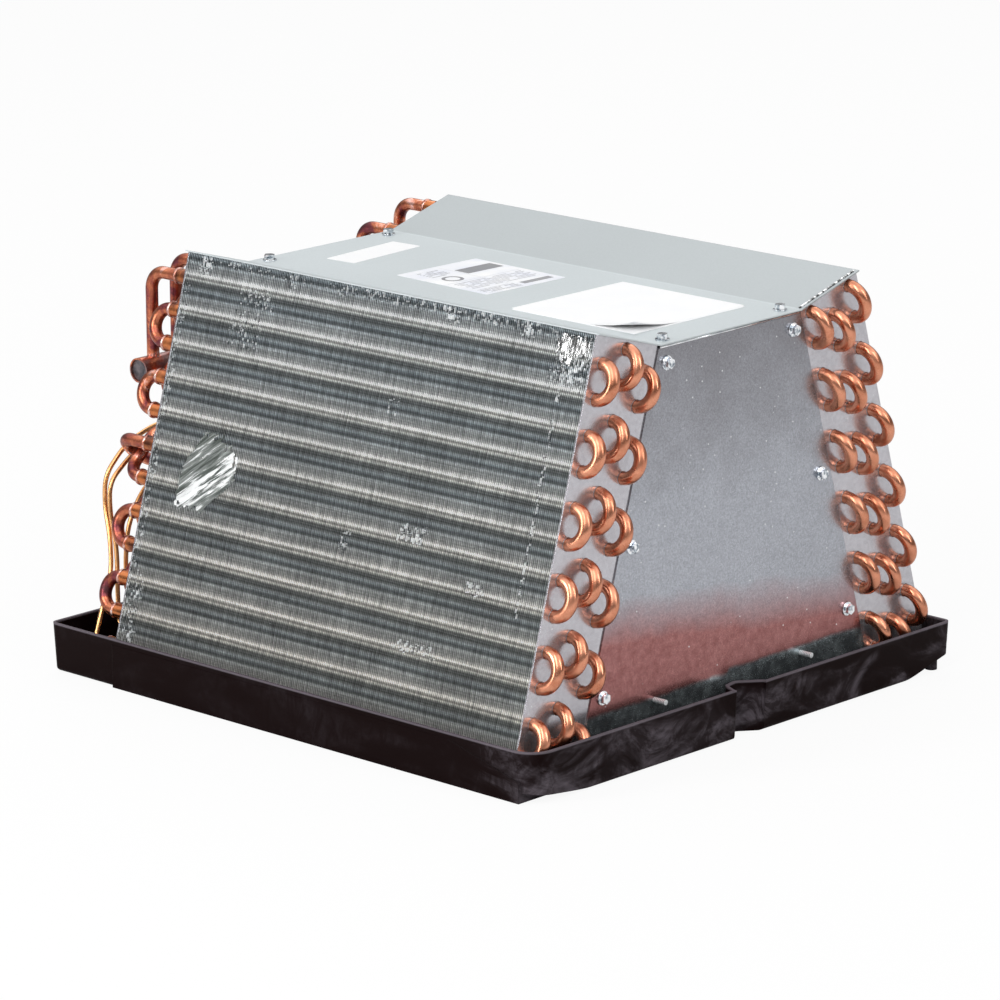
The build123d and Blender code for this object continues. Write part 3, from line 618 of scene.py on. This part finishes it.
def pan_plastic(name):
    """Black moulded plastic with pale rub marks, mostly on the walls, and a painted highlight along the
    rim.
    """
    tone = colours()
    made = Finish(name, roughness=0.42, metallic=0.0)
    made.put("Specular IOR Level", 0.035)
    x, y, z = made.parts()
    right = made.band(x, COIL_X + 0.16, COIL_X + 0.215, 0.08, 1.0)
    broad = made.cloud(1.0, 5.0, 0.62, made.stretched((9.0, 13.0, 26.0)), 0.8)
    streak = made.cloud(1.0, 6.0, 0.7, made.stretched((60.0, 22.0, 34.0)), 1.4)
    rub = made.product(made.band(broad, 0.47, 0.64), made.band(streak, 0.42, 0.66))
    swept = made.length(made.sum("SUBTRACT", y, ARC_Y), made.sum("SUBTRACT", z, ARC_Z))
    arc = made.band(made.sum("ABSOLUTE", made.sum("SUBTRACT", swept, ARC_R)), 0.005, 0.0005)
    arc = made.product(arc, made.band(streak, 0.3, 0.6), made.band(y, 0.146, 0.132))
    rub = made.product(made.sum("MAXIMUM", rub, arc), right)
    haze = made.product(made.band(broad, 0.42, 0.8, 0.0, 0.16), right)
    top = sizes().pan_rim
    # painted highlight along the rim's top edge
    rim = made.band(z, top - 0.0016, top - 0.0006, 0.0, 0.85)
    amount = made.sum("ADD", made.product(rub, 0.75), made.sum("ADD", haze, rim), clamp=True)
    made.put("Base Color", made.mix(amount, tone.plastic, tone.scuff_and_rim_highlight))
    made.put("Roughness", made.band(amount, 0.0, 0.6, 0.3, 0.6))
    made.relief(made.cloud(420.0, 4.0, 0.6), 0.1, 0.0004, 0.0011)
    return made.material


# What the data label shows: kind, first and last share of its width, of its depth, and strength
DATA_ROWS = (
    ("bar", 0.20, 0.36, 0.50, 0.95, 0.78),
    ("bar", 0.04, 0.98, 0.470, 0.478, 0.28),
    ("bar", 0.525, 0.533, 0.05, 0.95, 0.28),
    ("lines", 0.56, 0.80, 0.08, 0.92, 0.5),
    ("bar", 0.86, 0.93, 0.56, 0.93, 0.72),
    ("lines", 0.84, 0.97, 0.06, 0.50, 0.6),
    ("lines", 0.08, 0.28, 0.14, 0.40, 0.6),
    ("ring", 0.32, 0.50, 0.14, 0.35, 0.8),
)
DATA_SIZE = (0.0955, 0.082)
DATA_TURN = radians(-2)
DATA_TINT = (0.82, 0.845, 0.93)
BARE_TINT = (0.97, 0.975, 0.99)


def data_place(made):
    """Place on the data label, as shares of its width and of its depth."""
    low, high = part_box("data_label")
    x, y, _ = made.parts()
    x = made.sum("SUBTRACT", x, (low[0] + high[0]) / 2)
    y = made.sum("SUBTRACT", y, (low[1] + high[1]) / 2)
    wide, deep = DATA_SIZE
    along = made.sum("ADD", made.product(x, cos(DATA_TURN)), made.product(y, sin(DATA_TURN)))
    across = made.sum("SUBTRACT", made.product(y, cos(DATA_TURN)), made.product(x, sin(DATA_TURN)))
    u = made.sum("ADD", made.sum("DIVIDE", along, wide), 0.5)
    v = made.sum("ADD", made.sum("DIVIDE", across, deep), 0.5)
    return u, v


def data_ink(made):
    """Where the data label is inked: plain bars, broken lines and a ring."""
    wide, deep = DATA_SIZE
    u, v = data_place(made)
    ink = 0.0
    for kind, u0, u1, v0, v1, strength in DATA_ROWS:
        if kind == "ring":
            off_u = made.product(made.sum("SUBTRACT", u, (u0 + u1) / 2), wide)
            off_v = made.product(made.sum("SUBTRACT", v, (v0 + v1) / 2), deep)
            radius = (u1 - u0) * wide / 2
            shape = made.sum("COMPARE", made.length(off_u, off_v), radius * 0.82, radius * 0.16)
        else:
            shape = made.product(
                made.sum("GREATER_THAN", u, u0), made.sum("LESS_THAN", u, u1),
                made.sum("GREATER_THAN", v, v0), made.sum("LESS_THAN", v, v1),
            )
        if kind == "lines":
            count = made.product(u, 30.0)
            place = made.vector(made.sum("FLOOR", count), made.product(v, 7.0), 0.0)
            filled = made.sum("GREATER_THAN", made.cloud(1.0, 1.0, 0.5, place), 0.44)
            shape = made.product(shape, made.sum("LESS_THAN", made.sum("FRACT", count), 0.45), filled)
        ink = made.sum("MAXIMUM", made.product(shape, strength), ink)
    return ink


def label_film(name, tint=BARE_TINT, inked=None):
    """White label film, bare or inked."""
    tone = colours()
    made = Finish(name, roughness=0.4)
    made.put("Specular IOR Level", 0.3)
    tinted = made.mix(1.0, tone.paper, tint, "MULTIPLY")
    film = made.mix(made.band(made.cloud(40.0), 0.3, 0.7), tone.paper, tinted)
    if inked:
        film = made.mix(inked(made), film, tone.ink)
    made.put("Base Color", film)
    made.relief(made.cloud(90.0, 3.0), 0.1, 0.0004)
    return made.material


# ---------------------------------------------------------------- shapes

# Outlines of the flattened fins on the front face: along the coil from its middle, down the slab
CRUSHED_OUTLINE = (
    (-0.171, 0.157), (-0.153, 0.128), (-0.141, 0.124), (-0.128, 0.130), (-0.113, 0.142),
    (-0.114, 0.160), (-0.132, 0.176), (-0.141, 0.186), (-0.171, 0.187),
)
CORNER_OUTLINE = (
    (0.170, 0.006), (0.180, 0.003), (0.202, 0.005), (0.202, 0.020), (0.194, 0.016),
    (0.186, 0.021), (0.182, 0.034), (0.180, 0.034), (0.178, 0.021), (0.170, 0.017),
)

# Flattened fins: thickness, fineness of the torn outline, and of the folds across and along
SKIN_T = 0.0002
RAGGED_FINE = 380
FOLDS_FINE, FOLDS_LONG = 190, 24

# Most that a fin stands off its place along the coil
FIN_LEAN = 0.00022

# How far a braze ring stands off its tube, and a collar off the tube sheet
BRAZE_OFF = 0.0003
COLLAR_OFF = 0.0002


def slab_point(side, across, down, x):
    """A point of a slab: across from its inner face, down from its top, x from the coil's middle."""
    size = sizes()
    y = side * (size.inner_gap / 2 + across * cos(size.tilt) + down * sin(size.tilt))
    z = SLAB_TOP + across * sin(size.tilt) - down * cos(size.tilt)
    return Vector((COIL_X + x, y, z))


def slab_frame(side, across, down, x):
    """Matrix with x along the coil, y down the slab and z out of its outer face (mirrored in front)."""
    turn = Matrix(((1, 0, 0), slab_downward(side), slab_outward(side))).transposed().to_4x4()
    return Matrix.Translation(slab_point(side, across, down, x)) @ turn


def tube_rows(side):
    """(across, down) of each tube of a slab, as in the solids."""
    size = sizes()
    places = []
    for column in range(COLUMNS):
        across = (column + 0.5) * size.column_pitch
        low = (column != 1) == (side < 0)
        start = 0.75 if low else 0.25
        places += [(across, (row + start) * size.tube_pitch) for row in range(ROWS)]
    return places


def finish_piece(name, mesh, material, smooth=True, replaces=()):
    """Turn a bmesh into a piece that rides with the coil."""
    data = bpy.data.meshes.new(name)
    mesh.to_mesh(data)
    mesh.free()
    for polygon in data.polygons:
        polygon.use_smooth = smooth
    data.materials.append(material)
    piece = bpy.data.objects.new(name, data)
    bpy.context.scene.collection.objects.link(piece)
    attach(piece, "root")
    if replaces:
        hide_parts(*replaces)
    return piece


def ring(mesh, matrix, radius, wire, steps=20, wire_steps=6):
    """A torus about the matrix's z axis."""
    start = bmesh.ops.create_circle(
        mesh, segments=wire_steps, radius=wire,
        matrix=matrix @ Matrix.Translation((radius, 0, 0)) @ Matrix.Rotation(pi / 2, 4, "X"),
    )["verts"]
    edges = {edge for vert in start for edge in vert.link_edges}
    bmesh.ops.spin(
        mesh, geom=[*start, *edges], cent=matrix.translation, axis=matrix.to_3x3().col[2],
        angle=2 * pi, steps=steps, use_merge=True,
    )


def tube_rings(name, side, x, radius, wire, material):
    """A ring round every tube of a slab, at one place along the coil."""
    mesh = bmesh.new()
    for across, down in tube_rows(side):
        centre = slab_point(side, across, down, x)
        ring(mesh, Matrix.Translation(centre) @ Matrix.Rotation(pi / 2, 4, "Y"), radius, wire)
    bmesh.ops.remove_doubles(mesh, verts=mesh.verts, dist=1e-6)
    bmesh.ops.recalc_face_normals(mesh, faces=mesh.faces)
    return finish_piece(name, mesh, material)


def fin(mesh):
    """One thin plate, folded a little side to side down its length."""
    size = sizes()
    width = COLUMNS * size.column_pitch
    height = ROWS * size.tube_pitch
    stations = 2 * ROWS
    start = bmesh.ops.create_grid(mesh, x_segments=1, y_segments=1, size=0.5)["verts"]
    bmesh.ops.scale(mesh, verts=start, vec=(size.fin_t, width, 1))
    bmesh.ops.translate(mesh, verts=start, vec=(0, width / 2, 0))
    face = start[0].link_faces[0]
    made = [start]
    for station in range(stations):
        grown = bmesh.ops.extrude_face_region(mesh, geom=[face])["geom"]
        if station:
            mesh.faces.remove(face)
        face = next(g for g in grown if isinstance(g, bmesh.types.BMFace))
        made.append(face.verts[:])
        bmesh.ops.translate(mesh, verts=face.verts[:], vec=(0, 0, height / stations))
    for station, verts in enumerate(made):
        sway = size.ripple * (1 if station % 2 else -1)
        bmesh.ops.translate(mesh, verts=verts, vec=(sway, 0, 0))
    return [vert for verts in made for vert in verts]


def fin_pack(side_name):
    """Hundreds of thin fins; one is made and the rest are copies of it."""
    size = sizes()
    side = SIDES[side_name]
    mesh = bmesh.new()
    pitch = (2 * HALF_CORE - size.fin_t - 2 * size.ripple) / (size.fin_count - 1)
    first = fin(mesh)
    bmesh.ops.recalc_face_normals(mesh, faces=mesh.faces)
    turn = slab_frame(side, 0, 0, -HALF_CORE + size.fin_t / 2 + size.ripple)
    flip = Matrix(((1, 0, 0, 0), (0, 0, 1, 0), (0, 1, 0, 0), (0, 0, 0, 1)))
    bmesh.ops.transform(mesh, matrix=turn @ flip, verts=first)
    geometry = mesh.verts[:] + mesh.edges[:] + mesh.faces[:]
    for i in range(1, size.fin_count):
        copy = bmesh.ops.duplicate(mesh, geom=geometry)["geom"]
        verts = [g for g in copy if isinstance(g, bmesh.types.BMVert)]
        lean = FIN_LEAN * noise.noise(Vector((i * 0.37, side * 5.0, 0)))
        bmesh.ops.translate(mesh, verts=verts, vec=(pitch * i + lean, 0, 0))
    bmesh.ops.recalc_face_normals(mesh, faces=mesh.faces)
    return finish_piece(
        f"{side_name}_fins", mesh, fin_stock(f"{side_name} fin stock", side),
        smooth=False, replaces=[f"{side_name}_fin_pack"],
    )


def inside_outline(u, v, outline):
    """Whether a point lies inside a closed outline."""
    inside = False
    for (u0, v0), (u1, v1) in zip(outline, outline[1:] + outline[:1]):
        if (v0 > v) != (v1 > v) and u < u0 + (v - v0) * (u1 - u0) / (v1 - v0):
            inside = not inside
    return inside


def crumple(name, outline, material, lift, seed, step, ragged):
    """A patch of flattened fins: a thin uneven skin just proud of the front face."""
    reach_x = [u for u, _ in outline]
    reach_down = [v for _, v in outline]
    width, height = max(reach_x) - min(reach_x), max(reach_down) - min(reach_down)
    middle = Vector((min(reach_x) + width / 2, min(reach_down) + height / 2, 0))
    columns, rows = int(width / step), int(height / step)
    mesh = bmesh.new()
    verts = bmesh.ops.create_grid(mesh, x_segments=columns, y_segments=rows, size=0.5)["verts"]
    bmesh.ops.scale(mesh, verts=verts, vec=(width, height, 1))
    bmesh.ops.translate(mesh, verts=verts, vec=middle)
    lost = []
    for vert in verts:
        u, v, _ = vert.co
        wander = ragged * noise.noise(Vector((u * RAGGED_FINE + seed, v * RAGGED_FINE, seed)))
        if not inside_outline(u + wander, v - wander, outline):
            lost.append(vert)
        folds = Vector(((u * SLANT + v) * FOLDS_FINE + seed, (u - v) * FOLDS_LONG, seed))
        vert.co.z = lift * (0.5 + 0.8 * noise.fractal(folds, 1.0, 2.0, 4))
    bmesh.ops.delete(mesh, geom=lost, context="VERTS")
    bmesh.ops.solidify(mesh, geom=mesh.faces[:], thickness=SKIN_T)
    matrix = slab_frame(SIDES["front"], COLUMNS * sizes().column_pitch, 0, 0)
    bmesh.ops.transform(mesh, matrix=matrix, verts=mesh.verts)
    bmesh.ops.recalc_face_normals(mesh, faces=mesh.faces)
    return finish_piece(name, mesh, material, smooth=False)


def end_plate_beads():
    """The rolled top edge of each end plate."""
    size = sizes()
    mesh = bmesh.new()
    for end in ENDS.values():
        x = COIL_X + end * (DELTA_FACE - size.bead_r / 2)
        place = Matrix.Translation((x, 0, SLAB_TOP - size.bead_r * 1.6))
        bmesh.ops.create_cone(
            mesh, cap_ends=True, segments=12, radius1=size.bead_r, radius2=size.bead_r,
            depth=size.inner_gap - 2 * size.bead_r, matrix=place @ Matrix.Rotation(pi / 2, 4, "X"),
        )
    bmesh.ops.recalc_face_normals(mesh, faces=mesh.faces)
    return finish_piece("end_plate_beads", mesh, rolled_zinc_highlight("rolled edge"))


def ragged_fin_ends():
    """Torn fin tips along the right end of the rear slab's top."""
    size = sizes()
    width = COLUMNS * size.column_pitch
    length, height = size.fin_t * 4, size.fin_t * 5
    mesh = bmesh.new()
    verts = bmesh.ops.create_cube(mesh, size=1.0)["verts"]
    bmesh.ops.scale(mesh, verts=verts, vec=(length, width * 0.96, height))
    middle = slab_point(1, width / 2, -height / 2, HALF_CORE + length / 2)
    matrix = Matrix.Translation(middle) @ Matrix.Rotation(size.tilt, 4, "X")
    bmesh.ops.transform(mesh, verts=verts, matrix=matrix)
    bmesh.ops.recalc_face_normals(mesh, faces=mesh.faces)
    material = ragged_stock("ragged fin ends")
    return finish_piece("ragged_fin_ends", mesh, material, smooth=False)


# ---------------------------------------------------------------- stage

# The camera's place, which way its right and its top point, and its lens
CAMERA_PLACE = (2.5944, -2.7221, 1.1180)
CAMERA_RIGHT = Vector((0.7294, 0.6841, -0.0036))
CAMERA_UP = Vector((-0.1691, 0.1853, 0.968))
CAMERA_LENS = {
    "lens": 187.56, "sensor_width": 36.0, "shift_x": -0.02005, "shift_y": -0.01992, "clip_end": 50.0,
}

# Name, place, width and length, and power of each lamp, and the point they all face
LAMPS = (
    ("key", (0.9, -1.7, 2.1), (0.5, 2.2), 17.0),
    ("front", (-0.9, -2.5, 1.2), (0.7, 1.8), 36.0),
    ("fill", (2.3, 0.4, 1.5), (0.4, 1.8), 11.0),
    ("back", (-1.4, 1.6, 2.2), (1.6, 1.6), 12.0),
)
LAMP_AIM = Vector((COIL_X, 0, 0.15))

# The floor's half width, how far it lies under the part, its shade, and its glow for the camera
FLOOR_HALF = 6.0
FLOOR_DROP = 0.0004
FLOOR_SHADE = (0.86, 0.86, 0.86)
FLOOR_GLOW = 0.92

# Brightness of the surroundings as they light the part, as they are seen, and as metal mirrors them
AMBIENT = 0.62
BACKDROP = 1.0
MIRRORED = ((0.0, 0.30), (0.22, 0.22), (0.45, 0.55), (0.62, 1.5), (1.0, 1.1))


def place_camera(scene):
    data = bpy.data.cameras.new("coil camera")
    for key, value in CAMERA_LENS.items():
        setattr(data, key, value)
    camera = bpy.data.objects.new("coil camera", data)
    back = CAMERA_RIGHT.cross(CAMERA_UP)
    turn = Matrix((CAMERA_RIGHT, back.cross(CAMERA_RIGHT), back)).transposed().to_4x4()
    camera.matrix_world = Matrix.Translation(CAMERA_PLACE) @ turn
    scene.collection.objects.link(camera)
    scene.camera = camera


def lay_floor(scene):
    """A pale floor that takes soft shadows and looks white to the camera."""
    mesh = bmesh.new()
    bmesh.ops.create_grid(mesh, x_segments=1, y_segments=1, size=FLOOR_HALF)
    data = bpy.data.meshes.new("floor")
    mesh.to_mesh(data)
    mesh.free()
    floor = bpy.data.objects.new("floor", data)
    floor.location.z = -FLOOR_DROP
    scene.collection.objects.link(floor)
    paint = Finish("studio floor", base_color=FLOOR_SHADE, roughness=0.9)
    paint.put("Specular IOR Level", 0.0)
    glow = paint.node("ShaderNodeEmission", {"Color": (1, 1, 1)})
    seen = paint.product(paint.node("ShaderNodeLightPath").outputs["Is Camera Ray"], FLOOR_GLOW)
    blend = paint.node("ShaderNodeMixShader", {0: seen, 1: paint.shader.outputs[0], 2: glow.outputs[0]})
    paint.feed(paint.tree.nodes["Material Output"].inputs["Surface"], blend.outputs[0])
    data.materials.append(paint.material)


def light_surroundings(scene):
    """White surroundings, with a darker lower half for what metal mirrors."""
    scene.world = bpy.data.worlds.new("studio")
    made = Nodes(scene.world)
    path = made.node("ShaderNodeLightPath").outputs
    seen = made.sum("MAXIMUM", path["Is Camera Ray"], path["Is Transmission Ray"])
    seen = made.sum("MAXIMUM", seen, path["Is Glossy Ray"])
    even = made.band(seen, 0.0, 1.0, AMBIENT, BACKDROP)
    sky = made.node("ShaderNodeTexCoord").outputs["Generated"]
    height = made.node("ShaderNodeSeparateXYZ", {0: sky}).outputs[2]
    inputs = {0: path["Is Glossy Ray"], 2: even, 3: made.ramp(height, MIRRORED)}
    strength = made.node("ShaderNodeMix", inputs, data_type="FLOAT").outputs[0]
    background = made.tree.nodes["Background"].inputs
    made.feed(background["Color"], (1, 1, 1))
    made.feed(background["Strength"], strength)


def hang_lamps(scene):
    for name, place, (width, length), power in LAMPS:
        lamp = bpy.data.lights.new(name, "AREA")
        lamp.shape = "RECTANGLE"
        lamp.size = width
        lamp.size_y = length
        lamp.energy = power
        holder = bpy.data.objects.new(name, lamp)
        holder.location = place
        aim = LAMP_AIM - Vector(place)
        holder.rotation_euler = aim.to_track_quat("-Z", "Y").to_euler()
        scene.collection.objects.link(holder)


# ---------------------------------------------------------------- operators


class CoilOperator(bpy.types.Operator):
    """Base of the coil's operators."""

    bl_options = {"REGISTER", "UNDO"}


class COIL_OT_stage(CoilOperator):
    """Floor, soft studio light, white surroundings and the camera"""

    bl_idname = "coil.stage"
    bl_label = "Stage"

    def execute(self, context):
        scene = context.scene
        scene.view_settings.view_transform = "Standard"
        place_camera(scene)
        lay_floor(scene)
        light_surroundings(scene)
        hang_lamps(scene)
        return {"FINISHED"}


class COIL_OT_fins(CoilOperator):
    """The two packs of thin rippled fins"""

    bl_idname = "coil.fins"
    bl_label = "Fins"

    def execute(self, context):
        for side_name in SIDES:
            fin_pack(side_name)
        return {"FINISHED"}


class COIL_OT_damage(CoilOperator):
    """Crushed and bent places on the front face"""

    bl_idname = "coil.damage"
    bl_label = "Bent fins"

    def execute(self, context):
        crumple(
            "crushed_patch", CRUSHED_OUTLINE, crushed_stock("crushed fins"),
            lift=0.0005, seed=4.0, step=0.0010, ragged=0.008,
        )
        crumple(
            "crumpled_corner", CORNER_OUTLINE, folded_stock("folded fins"),
            lift=0.0006, seed=11.0, step=0.0009, ragged=0.009,
        )
        return {"FINISHED"}


class COIL_OT_copper(CoilOperator):
    """Finishes of the tubes, the header and the distributor"""

    bl_idname = "coil.copper"
    bl_label = "Copper"

    def execute(self, context):
        tone = colours()
        bright = drawn_copper("drawn copper", tone.copper, (0.42, 0.13, 0.06), 0.6, 0.23, heated_end=True)
        heated = torched_copper("heated copper", 0.0, (0.13, 0.05, 0.055), (0.21, 0.052, 0.06))
        feed = drawn_copper("feed copper", tone.feed_copper, (0.62, 0.30, 0.13), 0.3, uneven=0.04)
        header = torched_copper("header copper", 0.2, tuple(tone.header_brown), (0.31, 0.165, 0.15))
        brass = drawn_copper("turned brass", (0.62, 0.43, 0.17), (0.42, 0.27, 0.10), 0.4)
        groups = {
            "hairpins": bright,
            "return_bends": heated,
            "crossover": heated,
            "suction_elbows": heated,
            "capillary": feed,
            "feed_noses": feed,
        }
        for ending, material in groups.items():
            dress(named(ending), material)
        dress(["suction_header", "suction_stub"], header)
        dress(["header_caps"], burnt_scale("header cap scale"))
        dress(["liquid_line"], feed)
        dress(["distributor"], brass)
        return {"FINISHED"}


class COIL_OT_joints(CoilOperator):
    """Braze rings at the bells and drawn collars where the tubes leave the end sheets"""

    bl_idname = "coil.joints"
    bl_label = "Joints"

    def execute(self, context):
        size = sizes()
        tube_r = size.tube_d / 2
        braze = braze_metal("braze metal")
        collar = zinc_sheet("collar zinc", (0.54, 0.49, 0.49), 0.3)
        for side_name, side in SIDES.items():
            name = f"{side_name}_braze_rings"
            tube_rings(name, side, -BELL_FACE, tube_r + BRAZE_OFF, size.braze_r, braze)
            for end_name, end in ENDS.items():
                name = f"{side_name}_{end_name}_collars"
                x = end * (SHEET_FACE + COLLAR_OFF)
                tube_rings(name, side, x, tube_r + size.collar_h, size.collar_h / 2, collar)
        return {"FINISHED"}


class COIL_OT_sheet_metal(CoilOperator):
    """Finishes of the tube sheets, end plates, top plate and screws"""

    bl_idname = "coil.sheet_metal"
    bl_label = "Sheet metal"

    def execute(self, context):
        zinc = colours().zinc
        dress(named("tube_sheet"), zinc_sheet("tube sheet zinc", (0.54, 0.53, 0.565), 0.2))
        dress(["right_delta_plate"], zinc_sheet("end plate zinc", zinc, 0.22, end_plate=True))
        dress(["left_delta_plate"], zinc_sheet("plain zinc", zinc, 0.26))
        dress(["top_plate"], plate_coat("top plate coat"))
        dress(named("screws"), screw_zinc("zinc plate"))
        dress(named("pan_screws"), bright_thread("bright thread"))
        return {"FINISHED"}


class COIL_OT_edges(CoilOperator):
    """Rolled top edges of the end plates and the ragged fin ends beside the rear flange"""

    bl_idname = "coil.edges"
    bl_label = "Edges"

    def execute(self, context):
        end_plate_beads()
        ragged_fin_ends()
        return {"FINISHED"}


class COIL_OT_pan(CoilOperator):
    """Finish of the drain pan and its ports"""

    bl_idname = "coil.pan"
    bl_label = "Drain pan"

    def execute(self, context):
        dress(["drain_pan", "drain_ports"], pan_plastic("pan plastic"))
        return {"FINISHED"}


class COIL_OT_labels(CoilOperator):
    """Stickers and the paper sheet on the top plate"""

    bl_idname = "coil.labels"
    bl_label = "Labels"

    def execute(self, context):
        dress(["blank_label"], label_film("blank film"))
        dress(["data_label"], label_film("data film", DATA_TINT, data_ink))
        dress(["instruction_sheet"], label_film("sheet paper"))
        return {"FINISHED"}


class COIL_PT_sidebar(bpy.types.Panel):
    """The coil's sizes, colours and operators"""

    bl_idname = "COIL_PT_sidebar"
    bl_label = "A-coil evaporator"
    bl_space_type = "VIEW_3D"
    bl_region_type = "UI"
    bl_category = "Coil"

    def draw(self, context):
        for group in (context.scene.coil_sizes, context.scene.coil_colours):
            box = self.layout.box()
            for key in group.__annotations__:
                box.prop(group, key)
        for operator in OPERATORS:
            self.layout.operator(operator.bl_idname)


OPERATORS = (
    COIL_OT_stage,
    COIL_OT_fins,
    COIL_OT_damage,
    COIL_OT_copper,
    COIL_OT_joints,
    COIL_OT_sheet_metal,
    COIL_OT_edges,
    COIL_OT_pan,
    COIL_OT_labels,
)
CLASSES = (CoilSizes, CoilColours, *OPERATORS, COIL_PT_sidebar)


def register():
    for cls in CLASSES:
        bpy.utils.register_class(cls)
    bpy.types.Scene.coil_sizes = bpy.props.PointerProperty(type=CoilSizes)
    bpy.types.Scene.coil_colours = bpy.props.PointerProperty(type=CoilColours)


def unregister():
    del bpy.types.Scene.coil_colours
    del bpy.types.Scene.coil_sizes
    for cls in reversed(CLASSES):
        bpy.utils.unregister_class(cls)


def main():
    register()
    for operator in OPERATORS:
        group, name = operator.bl_idname.split(".")
        getattr(getattr(bpy.ops, group), name)()


if __name__ == "__main__":
    main()
